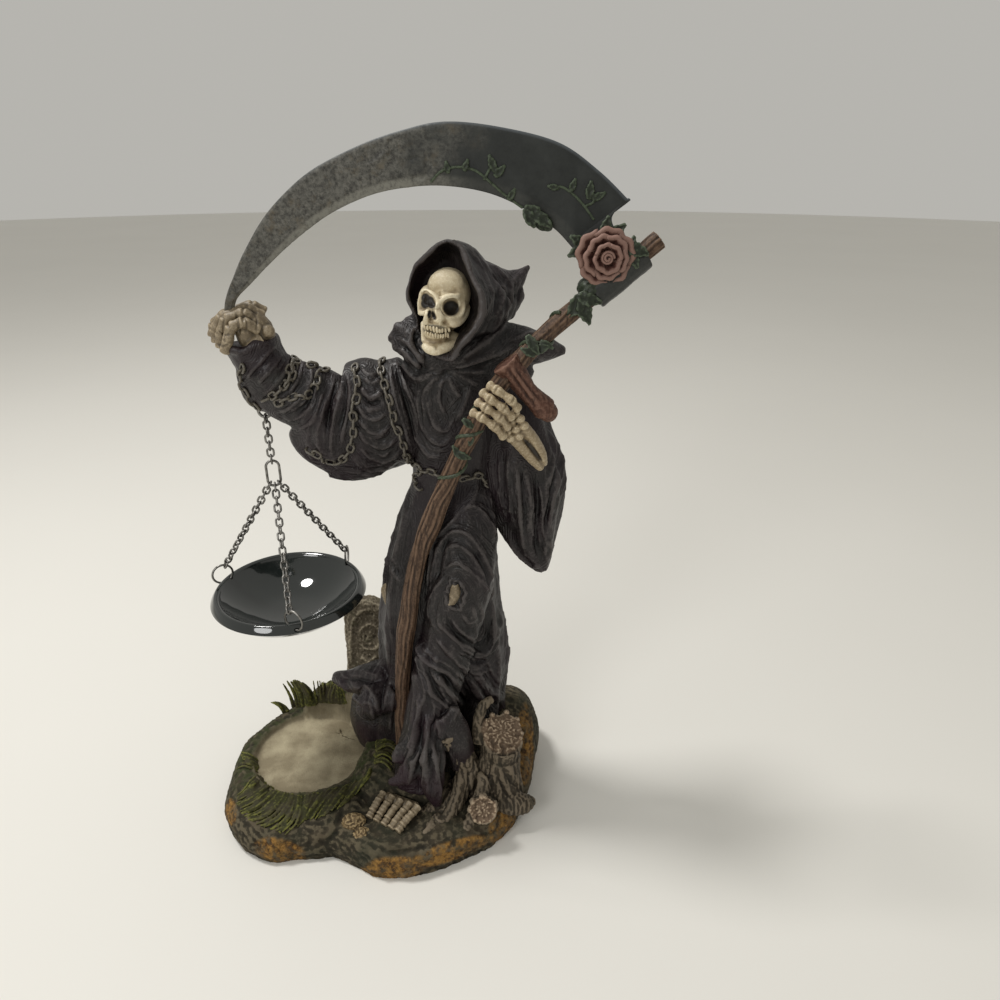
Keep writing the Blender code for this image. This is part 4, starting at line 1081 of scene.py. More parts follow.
HEM_STROKES = [
    (1.8, 1.9, [(420, 638), (423, 652), (431, 663), (445, 671)]),
    (1.8, 1.5, [(423, 660), (431, 685), (442, 702), (464, 718)]),
    (2.0, -1.6, [(427, 668), (436, 690), (448, 706)]),
    (1.8, 1.4, [(437, 671), (450, 691), (464, 705)]),
    (1.8, 1.7, [(453, 635), (464, 649), (478, 655), (489, 646), (493, 630), (492, 597)]),
    (1.8, 1.3, [(437, 635), (450, 655), (462, 666), (478, 671), (495, 667)]),
    (2.0, -1.5, [(458, 652), (472, 662), (488, 660)]),
    (1.8, 1.4, [(475, 671), (486, 688), (497, 694)]),
    (1.8, 1.4, [(495, 690), (500, 704), (511, 722)]),
    (1.8, 1.5, [(420, 696), (417, 724), (412, 746), (401, 763)]),
    (2.0, -1.6, [(416, 700), (411, 728), (403, 748)]),
    (1.8, 1.6, [(425, 713), (427, 746), (424, 774), (420, 791)]),
    (2.0, -1.8, [(421, 722), (421, 750), (416, 775)]),
    (1.8, 1.5, [(431, 735), (436, 763), (440, 791), (436, 808)]),
    (2.0, -1.8, [(429, 745), (431, 770), (430, 795)]),
    (1.8, 1.3, [(414, 748), (406, 764), (396, 774)]),
    (1.8, 1.3, [(442, 738), (447, 762), (449, 785)]),
    (2.0, -1.5, [(438, 742), (442, 765), (444, 790)]),
    (1.8, 1.3, [(340, 672), (356, 684), (376, 690)]),
    (1.8, 1.3, [(338, 678), (350, 694), (366, 706)]),
    (1.8, 1.4, [(384, 662), (376, 682), (372, 704), (374, 722)]),
    (2.0, -1.4, [(389, 668), (383, 690), (381, 715)]),
    (1.8, 1.3, [(396, 680), (392, 705), (390, 732)]),
]


def robe(look):
    """The robe's body with its hood, cape and hem."""
    forms = [robe_body()] + knee() + hem() + hood() + pictured(RUFFLE)
    skin = grown(forms, ROBE_VOXEL)
    skin = cut_away(skin, [grown(hood_opening(), ROBE_VOXEL)])
    skin = grown([skin] + hood_rim(), ROBE_VOXEL)
    soften(skin, 2)
    inside = hood_hollow(skin)
    carve(skin, with_threads(ROBE_STROKES + HEM_STROKES, share=0.32))
    roughen(skin, 16, 0.30, 3)
    roughen(skin, 4.5, 0.12, 5, 2, (1, 1, 0.35))
    tear_knee(skin)
    points, _ = arrays(skin)
    put(skin, np.maximum(points, [-1, -1, 9 * UNIT]))
    # the hood's hollow is marked for painted light
    give(skin, "inside", inside)
    give(skin, "hem", np.clip((75 - points[:, 2] / UNIT) / 35, 0, 1))
    note_relief(skin)
    return add_piece("robe", skin, look, "reaper_casting")


# The sleeves


REACHING_SLEEVE = [
    (27, 3, 202, 17, 13),
    (16, 2, 195, 22.5, 14),
    (3, 2, 191.5, 24.5, 14),
    (-9.8, 2, 192, 21.5, 13.5),
    (-17.8, 1, 199.6, 15.2, 12.5),
    (-27.6, 0, 205, 12.6, 11.5),
    (-33.5, -2, 212, 11, 10.5),
    (-36, -3, 219, 10, 10),
    (-37.2, -3.6, 224.5, 10.4, 10.4),
]
# The heavy cloth that hangs below the arm, its fall under the elbow, and the wide mouth
SLEEVE_LOBES = [
    ([(308, 442, 2), (319, 452, 2), (331, 463, 1), (346, 469, 1), (364, 470, 1), (382, 463, 1),
      (398, 452, 1)],
     [2.0, 3.0, 4.4, 4.0, 3.8, 3.6, 3.0]),
    ([(329, 474, 1), (348, 476, 1), (366, 475, 1)], [1.6, 2.2, 2.0]),
    ([(300, 424, 1), (310, 436, 1), (316, 448, 1)], [3.5, 3.2, 2.2]),
    ([(249, 350, -4), (245, 366, -4), (247, 384, -3), (254, 399, -2), (266, 408, -1)],
     [2.2, 3.2, 3.4, 3.0, 2.2]),
]
SLEEVE_STROKES = [
    (2.2, 1.3, [(276, 342), (266, 356), (254, 370), (246, 380)]),
    (2.2, 1.2, [(283, 350), (274, 366), (258, 384)]),
    (2.2, -1.2, [(272, 352), (262, 366), (250, 378)]),
    (2.2, 1.2, [(289, 347), (287, 366), (276, 384), (262, 396)]),
    (2.4, 1.5, [(308, 364), (312, 380), (303, 396), (290, 407), (276, 413)]),
    (2.2, 1.3, [(318, 378), (313, 398), (305, 413), (292, 419), (281, 414)]),
    (2.2, 1.2, [(322, 390), (318, 408), (310, 422), (298, 430)]),
    (2.2, -1.3, [(316, 382), (308, 402), (296, 413)]),
    (2.6, 1.6, [(334, 374), (331, 392), (322, 414), (318, 436), (325, 456)]),
    (2.4, 1.4, [(338, 376), (339, 396), (334, 420), (331, 444), (336, 462)]),
    (2.2, 1.3, [(347, 374), (350, 394), (346, 420), (340, 446)]),
    (2.2, -1.5, [(336, 384), (330, 408), (326, 434)]),
    (2.2, -1.4, [(345, 378), (346, 400), (340, 430)]),
    (2.6, 1.7, [(361, 386), (366, 394), (374, 397), (383, 392)]),
    (2.4, -1.5, [(360, 394), (370, 403), (382, 400)]),
    (2.4, 1.5, [(358, 404), (366, 416), (377, 419), (388, 412)]),
    (2.4, 1.6, [(358, 417), (368, 429), (380, 433), (391, 425)]),
    (2.4, 1.5, [(357, 429), (368, 442), (384, 447), (398, 438)]),
    (2.4, 1.5, [(357, 443), (370, 456), (386, 460), (402, 451)]),
    (2.4, 1.4, [(352, 456), (364, 467), (380, 469), (396, 461)]),
    (2.2, 1.2, [(306, 440), (316, 450), (328, 456), (342, 458)]),
    (2.2, 1.2, [(331, 464), (346, 470), (366, 471)]),
    (2.4, 1.5, [(394, 352), (403, 356), (414, 368), (422, 384)]),
    (2.4, 1.3, [(390, 362), (392, 384), (397, 404), (404, 426), (411, 452)]),
    (2.2, -1.4, [(396, 366), (402, 390), (410, 416), (416, 444)]),
    (2.2, 1.3, [(362, 368), (368, 376), (379, 374)]),
    (2.2, 1.2, [(364, 378), (372, 384), (381, 380)]),
    (2.2, 1.2, [(299, 352), (302, 366), (297, 382), (288, 396)]),
]


def reaching_sleeve(around=90, along=70):
    rows = [smooth_row(REACHING_SLEEVE, k / along) for k in range(along + 1)]
    loops = []
    for k, row in enumerate(rows):
        before, after = rows[max(k - 1, 0)], rows[min(k + 1, along)]
        way = Vector((after[0] - before[0], 0, after[2] - before[2])).normalized()
        up = Vector((-way.z, 0, way.x))
        if up.z < 0:
            up = -up
        loop = []
        for i in range(around):
            angle = 2 * math.pi * i / around
            low = max(0.0, -math.sin(angle))
            fold = 1 + 0.05 * low * math.sin(0.31 * k) + 0.03 * math.sin(5 * angle + 0.14 * k)
            side = row[4] * math.cos(angle) * fold * (1 - 0.25 * low)
            rise = row[3] * math.sin(angle) * fold
            loop.append(at((row[0] + up.x * rise, row[1] + side, row[2] + up.z * rise)))
        loops.append(loop)
    return loft(loops)


CUFF = (-37.4, -3.6, 223.6)
CUFF_RADII = [1.7, 1.4, 1.8, 1.5, 1.9, 1.4, 1.8, 1.5, 1.9, 1.4, 1.8, 1.5, 1.7]


def cuff():
    """The rolled edge round the mouth of the reaching sleeve."""
    ring = []
    for k in range(13):
        angle = 2 * math.pi * k / 12
        wave = 0.8 * math.sin(5 * angle)
        z = CUFF[2] + 2.0 * math.cos(angle) + wave
        ring.append((CUFF[0] + 8.8 * math.cos(angle), CUFF[1] + 9.4 * math.sin(angle), z))
    return [limb(ring, CUFF_RADII)]


MOUTH_CUT = (-37.6, -3.7, 229), (8.0, 8.4, 8.5)
MOUTH_HOLLOW = (-37.6, -3.7, 227.0), (8.6, 9.0, 9.0)


def arm(look):
    """The sleeve of the reaching arm, with its hollow mouth."""
    skin = grown([reaching_sleeve()] + pictured(SLEEVE_LOBES), SLEEVE_VOXEL)
    skin = cut_away(skin, [blob(*MOUTH_CUT)])
    skin = grown([skin] + cuff(), SLEEVE_VOXEL)
    soften(skin, 2)
    carve(skin, with_threads(SLEEVE_STROKES))
    roughen(skin, 14, 0.30, 13)
    roughen(skin, 4.5, 0.10, 15, 2, (1, 1, 0.4))
    points, normals = arrays(skin)
    middle, radii = (np.array(row) for row in MOUTH_HOLLOW)
    away = points / UNIT - middle
    near = np.linalg.norm(away / radii, axis=1)
    turned_in = np.einsum("ij,ij->i", normals, -away) > 0
    # the sleeve's mouth is marked for painted light
    give(skin, "inside", np.clip((1.02 - near) * 6, 0, 1) * turned_in)
    give(skin, "hem", np.full(len(skin.vertices), 0.25))
    note_relief(skin)
    return add_piece("reaching_sleeve", skin, look, "reaper_casting")


HANGING_SLEEVE = [
    (216, 50, 66, 2, 9),
    (207, 50, 71, 2, 11),
    (196, 50, 76, 1, 12),
    (184, 50, 80, 0, 12.5),
    (172, 50, 84, 0, 12.5),
    (160, 51, 85, 0, 11.5),
    (148, 54, 84, 1, 10),
    (138, 59, 82.5, 2, 8.5),
    (129, 66, 81, 2, 6.5),
    (121, 73.5, 79.5, 2, 3.5),
]
HANGING_STROKES = [
    (2.4, 1.3, [(546, 430), (552, 440), (554, 458), (551, 474), (549, 490)]),
    (2.4, 1.5, [(560, 446), (562, 462), (559, 480), (553, 496), (550, 515), (547, 536)]),
    (2.4, -1.5, [(556, 452), (555, 474), (549, 500), (545, 530)]),
    (2.4, 1.5, [(549, 486), (546, 505), (541, 522), (546, 540), (543, 560)]),
    (2.4, 1.4, [(516, 462), (519, 490), (520, 514), (523, 540), (527, 558)]),
    (2.2, 1.3, [(526, 470), (529, 496), (530, 520), (532, 550)]),
    (2.2, -1.4, [(521, 468), (524, 500), (525, 530)]),
    (2.2, -1.4, [(536, 474), (538, 505), (536, 535), (538, 558)]),
    (2.2, 1.2, [(536, 480), (542, 500), (538, 525), (540, 548)]),
    (2.2, 1.2, [(508, 452), (509, 478), (511, 505), (515, 530)]),
    (2.2, 1.1, [(500, 452), (500, 478), (502, 500), (506, 520)]),
    (2.4, 1.3, [(497, 486), (503, 503), (514, 511)]),
    (2.2, 1.2, [(508, 540), (519, 555), (532, 566), (544, 563)]),
    (2.0, 1.2, [(546, 538), (551, 548), (545, 562)]),
]


def hanging_sleeve(around=90, down=70):
    loops = []
    for k in range(down + 1):
        z, left, right, cy, half_y = smooth_row(HANGING_SLEEVE, k / down)
        loop = []
        for i in range(around):
            angle = 2 * math.pi * i / around
            fold = 1 + 0.07 * math.sin(7 * angle + 0.6) * min(1.0, k / 20)
            x = (left + right) / 2 + (right - left) / 2 * math.cos(angle) * fold
            loop.append(at((x, cy + half_y * math.sin(angle) * fold, z)))
        loops.append(loop)
    return loft(loops)


def drooping_sleeve(look):
    skin = grown([hanging_sleeve()], SLEEVE_VOXEL)
    soften(skin, 2)
    carve(skin, with_threads(HANGING_STROKES))
    roughen(skin, 14, 0.30, 23)
    roughen(skin, 4.5, 0.10, 25, 2, (1, 1, 0.3))
    give(skin, "inside", np.zeros(len(skin.vertices)))
    give(skin, "hem", np.full(len(skin.vertices), 0.2))
    note_relief(skin)
    return add_piece("hanging_sleeve", skin, look, "reaper_casting")


# The skull


SKULL_FORMS = [
    ((448.6, 292.5, -7.5), (8.2, 11.2, 8.9)),
    ((446.5, 284.5, -12.5), (6.6, 5.4, 5.3)),
    ((428, 301, -11.5), (3.5, 5.0, 5.6)),
    ((442, 307, -13), (7.0, 5.6, 6.0)),
    ([(421.8, 290.6, -16), (426, 291.4, -18.2), (432, 294.6, -20.4), (438.8, 300.6, -21.8)],
     [0.7, 1.05, 1.25, 1.2]),
    ([(439.6, 301, -21.8), (444.5, 298.2, -21.4), (450, 296.8, -20.4), (456, 296.8, -18.4),
      (461.5, 292.6, -14.6)],
     [1.2, 1.25, 1.3, 1.2, 0.6]),
    ([(421.6, 291.5, -15.6), (419, 302, -14.6), (419.4, 311.5, -14.6)], [0.7, 0.7, 0.8]),
    ([(419.4, 312.8, -15), (424.5, 313.2, -17.6), (428.4, 310.6, -19.6)], [1.0, 0.95, 0.85]),
    ([(442.4, 311, -20.6), (445, 316.4, -19.8), (451, 319.2, -18.2), (457.6, 317, -16.2),
      (462.2, 310.5, -14.6), (462.6, 303, -14.2), (461.4, 296.6, -14.8)],
     [1.0, 1.2, 1.3, 1.3, 1.2, 1.1, 0.9]),
    ([(439.5, 300.5, -21.4), (438.0, 304.5, -22.4), (434.8, 307, -23.6), (431.4, 308.2, -24.4)],
     [1.5, 1.3, 1.0, 0.6]),
    ([(437.6, 309, -21.8), (439.6, 316, -21.2), (438.5, 323, -20)], [1.3, 1.8, 2.0]),
    ([(427.4, 312, -20.2), (426.2, 317.5, -20.2), (426.4, 323, -19)], [0.8, 1.0, 1.5]),
    ((438, 323.5, -15.5), (5.2, 6.0, 2.8)),
    ((437, 331.5, -14.6), (5.0, 5.6, 3.2)),
    ([(447, 320, -19), (453.5, 323.2, -17.6), (459.5, 320, -14.8), (465, 314, -11.5), (468, 306, -8)],
     [1.4, 1.8, 1.8, 1.5, 1.1]),
    ([(423.6, 345, -17.8), (428, 348.6, -19.6), (435, 350.6, -20), (444, 347.6, -18), (455, 344, -14),
      (462, 337, -9.5), (464, 326, -7)],
     [1.2, 1.7, 1.9, 2.0, 2.0, 1.8, 1.5]),
    ([(425, 342, -16), (424.4, 334, -14), (423.5, 322, -10)], [1.4, 1.3, 1.2]),
    ((436, 343, -15), (4.8, 4.4, 2.4)),
    ((450, 340, -11.5), (4.8, 4, 3.4)),
    ((448, 316, -3), (7.0, 8, 10.5)),
]
SOCKETS = [
    ((425.4, 298.4, -21), (2.1, 5.6, 2.5)),
    ((425.2, 303.6, -21), (2.2, 5.6, 2.5)),
    ((428.6, 301.4, -21.2), (2.7, 5.6, 2.7), 30),
    ((431.2, 304.2, -21.4), (2.1, 5.4, 1.9), 30),
    ((451.4, 308, -20.6), (3.8, 5.8, 3.6), 12),
    ([(430.4, 309.4, -24.6), (429.4, 313.6, -23.4), (428.8, 317.4, -22)], [0.4, 0.85, 0.85]),
    ([(432.0, 310.4, -24.4), (433.6, 315, -23), (435.4, 320, -22)], [0.4, 0.85, 0.8]),
    ([(454, 329.5, -17), (459, 330, -13.5), (463, 326, -10)], [1.3, 2.0, 2.2]),
]
# Ellipses of the picture painted with shade: the eye sockets, the nose holes and the hollow between the
# right cheekbone and the jaw
SOCKET_SHADES = [
    (425.6, 298.4, 4.6, 5.4, 0),
    (425.2, 303.6, 4.6, 5.6, 0),
    (428.6, 301.4, 6.0, 6.0, 30),
    (431.2, 304.4, 4.7, 4.4, 30),
    (451.2, 308.2, 8.6, 8.2, 12),
    (429.2, 314.2, 2.0, 4.4, 8),
    (433.8, 315.4, 2.0, 5.2, -18),
    (459.0, 329.6, 6.0, 3.2, -12),
]
# The ellipse behind the teeth that is painted with shade
MOUTH_SHADE = [(437, 331.4, 15.5, 6.8, 12)]
SKULL_STROKES = [
    (1.6, -0.5, [(439, 291), (440, 296), (439.4, 300)]),
    (2.4, -0.4, [(442, 291), (451, 291.5), (459, 289)]),
    (1.8, -0.5, [(427, 341.5), (434, 342.5), (444, 341)]),
    (1.6, -0.4, [(436, 345), (436.5, 351)]),
    (2.0, -0.35, [(441, 321), (446, 324), (450, 326)]),
    (1.4, -0.4, [(428, 321), (433, 323), (440, 325)]),
]
UPPER_TEETH = [(424.2, 327.0), (430, 328.8), (437, 330.2), (443, 330.8), (450, 330.0)]
LOWER_TEETH = [(425.4, 332.4), (430.5, 334.4), (437, 335.8), (443, 335.8), (448.6, 334.8)]
TEETH_DEPTH = [-19.2, -21.2, -21.6, -20.6, -18.4]


def teeth():
    """Two rows of small uneven teeth along the bend of the jaws."""
    made = []
    for row, size, count in ((UPPER_TEETH, 1.0, 9), (LOWER_TEETH, 0.86, 10)):
        track = [(u, v, y) for (u, v), y in zip(row, TEETH_DEPTH)]
        for k in range(count):
            u, v, y = smooth_row(track, (k + 0.5) / count)
            wide = (0.56 + random.uniform(-0.10, 0.08)) * size
            tall = (1.02 + random.uniform(-0.20, 0.16)) * size
            centre = spot(u, v + random.uniform(-0.4, 0.4), y)
            made.append(blob(centre, (wide, 0.65, tall), random.uniform(-16, 16)))
    return made


def skull(look):
    skin = grown(pictured(SKULL_FORMS), BONE_VOXEL)
    soften(skin, 3)
    skin = cut_away(skin, [grown(pictured(SOCKETS), BONE_VOXEL)])
    skin = grown([skin], BONE_VOXEL)
    soften(skin, 1)
    carve(skin, SKULL_STROKES)
    roughen(skin, 4, 0.06, 31)
    # painted shade in the eye sockets, nose holes, cheek hollow and behind the teeth
    dark = shade_of(skin, SOCKET_SHADES)
    mouth_shade = shade_of(skin, MOUTH_SHADE) * 0.72
    mesh = joined([skin] + teeth())
    shaded = np.zeros(len(mesh.vertices))
    shaded[: len(dark)] = np.maximum(dark, mouth_shade)
    give(mesh, "dark", shaded)
    note_relief(mesh, 2, 10)
    return add_piece("skull", mesh, look, "reaper_casting")


# The hands, the foot and the leg


GRIP_FINGERS = [
    [(489, 385), (497, 390), (511, 400), (518, 409)],
    [(482, 392), (490, 399), (503, 408), (512, 418)],
    [(477, 402), (486, 408), (499, 417), (508, 428)],
    [(472, 412), (481, 417), (494, 426), (504, 437)],
]
GRIP_DEPTHS = [-28.5, -31.5, -32.0, -29.0]
GRIP_WRIST = [
    (515, 413), (511, 422), (507, 432), (520, 419),
    (516, 429), (511, 438), (524, 426), (519, 436),
]
GRIP_PALM = [
    ([(512, 414, -25), (511, 424, -25), (508, 434, -25)], [2.2, 2.4, 2.0]),
    ([(513, 437, -26), (522, 446, -22), (533, 458, -18), (541, 468, -15)], [2.4, 2.5, 2.5, 1.6]),
    ([(523, 427, -26), (533, 440, -22), (541, 454, -18), (544, 464, -15)], [2.4, 2.5, 2.2, 1.4]),
]


def gripping_hand():
    made = []
    for finger in GRIP_FINGERS:
        joints = [spot(u, v, y) for (u, v), y in zip(finger, GRIP_DEPTHS)]
        for start, end in zip(joints, joints[1:]):
            made.append(bone(start, end, 1.3, 1.8))
    for u, v in GRIP_WRIST:
        made.append(blob(spot(u, v, -27), (1.9, 1.9, 1.7), tilt=random.uniform(-40, 40)))
    return made + pictured(GRIP_PALM)


REACH_PALM = [
    ([(262, 352, -4), (261, 340, -4), (258, 328, -5), (250, 320, -6)], [4.6, 5.6, 5.4, 4.4]),
    ([(256, 346, -6), (249, 338, -7), (244, 328, -8), (238, 322, -8)], [3.8, 4.2, 4.0, 3.0]),
    ([(262, 338, -9), (252, 345, -10.5), (246, 356, -11)], [2.4, 2.1, 1.4]),
    ((268, 331, -8), (2.6, 2.2, 2.4)),
]
REACH_FINGERS = [
    [(259, 330, -9.5), (243, 322, -12), (231, 327, -13), (228, 340, -13), (225, 352, -12)],
    [(261, 322, -6), (243, 313, -8.5), (226, 319, -9.5), (221, 333, -10), (221, 347, -9.5)],
    [(263, 316, -3), (247, 308, -5), (222, 317, -6), (215, 329, -6), (217, 342, -6)],
    [(265, 312, 0), (252, 305, -1.5), (226, 313, -2.5), (214, 324, -2.5), (213, 336, -2.5)],
]


def reaching_hand():
    made = pictured(REACH_PALM)
    for finger in REACH_FINGERS:
        joints = [spot(*joint) for joint in finger]
        for start, end in zip(joints, joints[1:]):
            made.append(bone(start, end, 1.9, 2.15))
    return made


FOOT_HEEL = [(384, 793), (393, 796.5), (402, 800), (411, 803.5), (419, 807)]
FOOT_TOE = [(369, 818), (376, 822), (383, 826), (390, 829.5), (397, 832.5)]
FOOT_BED = [(386, 797, 18.5), (416, 808, 18.5), (396, 828, 14.5), (373, 818, 14.5)]


def foot():
    made = []
    for heel, toe in zip(FOOT_HEEL, FOOT_TOE):
        start, end = Vector(ground_spot(*heel, 20.6)), Vector(ground_spot(*toe, 16.6))
        cuts = [0.0, 0.30, 0.56, 0.80, 1.0]
        for low, high in zip(cuts, cuts[1:]):
            middle = (low + high) / 2 + random.uniform(-0.015, 0.015)
            lift = Vector((0, 0, 1.2 * math.sin(math.pi * middle)))
            half = (high - low) / 2 - 0.014
            ends = [start.lerp(end, middle + s * half) + lift for s in (-1, 1)]
            made.append(bone(*ends, 1.6, 1.85))
    return made


def foot_bed():
    """What lies between the toes, seen as dark gaps."""
    corners = [ground_spot(*corner) for corner in FOOT_BED]
    return [limb([corners[0], corners[1]], [2.6, 2.6]), limb([corners[3], corners[2]], [2.2, 2.2])]


KNEE_BONE = [(457, 585), (455, 592), (452, 600), (449, 605)]
LEFT_BONE = [(386, 583), (384, 590), (385, 598), (386, 606)]


def shin(tree):
    """Bits of bone that show through the torn cloth at the knee and beside the left leg."""
    made = []
    for path, radii in ((KNEE_BONE, [1.5, 2.6, 2.5, 1.2]), (LEFT_BONE, [1.2, 2.4, 2.2, 1.2])):
        met = [touched(tree, u, v) for u, v in path]
        places = [place - normal * 1.3 for place, normal in (m for m in met if m is not None)]
        if len(places) == len(radii):
            made.append(limb(places, radii))
    return made


BONE_STROKES = [
    (2.2, -0.9, [(524, 438), (533, 449), (541, 463)]),
    (1.2, -0.5, [(243, 314), (247, 322), (246, 332)]),
    (1.2, -0.5, [(252, 310), (257, 320), (256, 332)]),
    (1.2, -0.5, [(235, 312), (238, 322), (240, 336)]),
    (1.2, -0.5, [(218, 330), (224, 335), (231, 334)]),
    (1.2, -0.5, [(216, 343), (222, 346), (230, 344)]),
    (1.2, -0.5, [(224, 318), (223, 330), (225, 344)]),
]
# The ellipse of the picture painted with shade in the groove between the forearm bones
FOREARM_SHADES = [(533, 450, 15, 2.6, 50)]


def bones(look_light, look_tan, tree):
    for name, forms, look, seed in (
        ("gripping_hand", gripping_hand(), look_light, 41),
        ("reaching_hand", reaching_hand(), look_tan, 42),
        ("foot", foot() + foot_bed(), look_tan, 43),
        ("leg_bones", shin(tree), look_tan, 44),
    ):
        skin = grown(forms, BONE_VOXEL)
        soften(skin, 1)
        roughen(skin, 3, 0.09, seed)
        carve(skin, BONE_STROKES)
        # painted shade in the groove of the gripping hand's forearm
        give(skin, "dark", shade_of(skin, FOREARM_SHADES) * (name == "gripping_hand") * 0.85)
        note_relief(skin, 2, 8)
        add_piece(name, skin, look, "reaper_casting")


# The staff


STAFF = [
    (11.5, -6, 24),
    (11.8, -7.5, 41),
    (12.8, -10, 62.5),
    (15.3, -14.5, 89.3),
    (18.9, -17.5, 111.8),
    (24.1, -19, 137.3),
    (30.7, -20, 156.2),
    (37.3, -21, 172.5),
    (46.7, -23, 193.9),
    (58, -23, 213.2),
    (74.3, -19, 230.4),
    (90.3, -15, 243.1),
    (102, -13.2, 252.6),
    (114, -11.6, 262.4),
]
STAFF_THICKNESS = [1.15, 1.1, 1.0, 0.98, 1.05, 1.0, 1.08, 1.0, 1.0, 0.95, 0.95, 0.9, 0.9, 0.95]
STAFF_RADIUS = 3.8
STAFF_GROOVE = 0.11


def staff(look):
    """The wooden staff, grooved along its length."""
    sides, per_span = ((48, 26))
    path = smooth_path(STAFF, per_span)
    widths = smooth_path([(w,) for w in STAFF_THICKNESS], per_span)
    loops = []
    for k, (centre, side, other) in enumerate(framed(path, Vector((1, 0, 0)))):
        radius = STAFF_RADIUS * float(widths[k][0]) * 0.97
        radius *= 1 + 0.05 * math.sin(0.09 * k) + 0.03 * math.sin(0.21 * k + 1)
        loop = []
        for i in range(sides):
            angle = 2 * math.pi * i / sides
            bend = angle + 0.35 * math.sin(0.05 * k) + 0.1 * math.sin(0.23 * k)
            groove = 0.5 * math.sin(9 * bend) + 0.5 * math.sin(14 * bend + 0.03 * k)
            groove += 0.3 * math.sin(23 * bend)
            out = radius * (1 + STAFF_GROOVE * (min(groove, 0.5) - 0.2))
            loop.append(at(centre + (side * math.cos(angle) + other * math.sin(angle)) * out))
        loops.append(loop)
    mesh = loft(loops)
    note_relief(mesh, 1, 8)
    add_piece("staff", mesh, look, "reaper_casting")


PEG = [
    ([(505, 362, -23), (517, 377, -23), (527, 391, -23), (538, 402, -22), (545, 409, -21)],
     [5.6, 4.6, 3.8, 4.2, 4.8]),
    ((547, 411, -21), (4.4, 4.6, 3.8), 40),
]
PEG_STROKES = [
    (1.6, -0.8, [(506, 366), (520, 386), (536, 409)]),
    (1.4, -0.7, [(514, 366), (527, 384), (543, 403)]),
    (1.4, -0.7, [(501, 372), (513, 390), (529, 413)]),
    (1.3, 0.5, [(510, 366), (523, 385), (540, 406)]),
]


def peg(look):
    """The grip that stands out of the staff, flared at its end."""
    skin = grown(pictured(PEG), WOOD_VOXEL)
    soften(skin, 2)
    carve(skin, PEG_STROKES)
    roughen(skin, 3, 0.12, 51)
    note_relief(skin, 2, 8)
    add_piece("peg_grip", skin, look, "reaper_casting")


# The base


OUTLINE = [
    (-75.5, -8),
    (-73, -28),
    (-61.5, -45),
    (-46.5, -52.5),
    (-32, -51.5),
    (-18, -50.5),
    (-7, -55),
    (6, -61),
    (22, -60),
    (40, -53),
    (56, -43),
    (66.5, -30),
    (72.5, -12),
    (76, 8),
    (73.5, 28),
    (65, 44),
    (48, 56),
    (28, 62),
    (6, 63),
    (-16, 62),
    (-36, 55),
    (-54, 42),
    (-68, 26),
    (-76, 9),
]
BASE_TOP = 16.5
BASE_BULGE = [
    (-4, 0.98), (1, 0.985), (5, 1.0), (9, 0.99),
    (12.5, 0.965), (15, 0.91), (16, 0.8), (BASE_TOP, 0.6),
]
MOUNDS = [
    ((24, 2, 12), (44, 36, 16)),
    ((62, 14, 16), (16, 24, 23)),
    ((54, -8, 12), (20, 24, 15)),
    ((-26, 34, 13), (24, 20, 15)),
    ((-14, 22, 18), (17, 11, 17)),
    ((4, -12, 14), (18, 22, 12)),
    ((22, -24, 12), (17, 11, 17)),
]
RECESS_RADIUS = 28.5
RECESS_FLOOR = 13.0
OCHRE_PATCHES = [
    (280, 851, 27, 13, 14),
    (231, 812, 6, 14, 0),
    (392, 869, 32, 13, -4),
    (448, 852, 46, 10, -19),
    (503, 820, 12, 26, 24),
    (525, 745, 9, 42, 0),
]
GROUND_STROKES = [
    (3, 0.8, [(245, 812), (262, 832), (290, 845)]),
    (3, 0.8, [(236, 800), (240, 822), (262, 850), (290, 860)]),
    (3, -0.7, [(236, 745), (230, 775), (231, 805), (240, 830)]),
    (3, 0.7, [(250, 824), (272, 842), (300, 852), (330, 846)]),
    (3, 0.7, [(330, 812), (322, 830), (312, 846)]),
    (3, -0.7, [(343, 806), (338, 825), (330, 842)]),
    (3, 1.0, [(352, 845), (368, 852), (384, 866)]),
    (3, 0.9, [(350, 838), (366, 846), (380, 850), (402, 848)]),
    (3, -0.8, [(372, 846), (398, 853), (430, 845)]),
    (4, 1.0, [(384, 862), (410, 862), (440, 852), (475, 842)]),
    (3, 0.8, [(455, 834), (472, 840), (498, 832), (515, 812)]),
    (3, 0.7, [(515, 800), (523, 775), (527, 745), (522, 715)]),
    (3, -0.7, [(508, 812), (518, 786), (522, 752), (517, 722)]),
    (3, 0.7, [(332, 800), (348, 806), (362, 803)]),
    (3, -0.6, [(400, 838), (414, 842), (432, 836)]),
]


def outline_points(count):
    closed = OUTLINE[-1:] + OUTLINE + OUTLINE[:2]
    made = []
    for k in range(count):
        share = (1 + k / count * len(OUTLINE)) / (len(closed) - 1)
        made.append(tuple(smooth_row(closed, share)))
    return made


def base_plate():
    loops = []
    for z, share in BASE_BULGE:
        loops.append([at((x * share, y * share, z)) for x, y in outline_points(120)])
    return loft(loops)


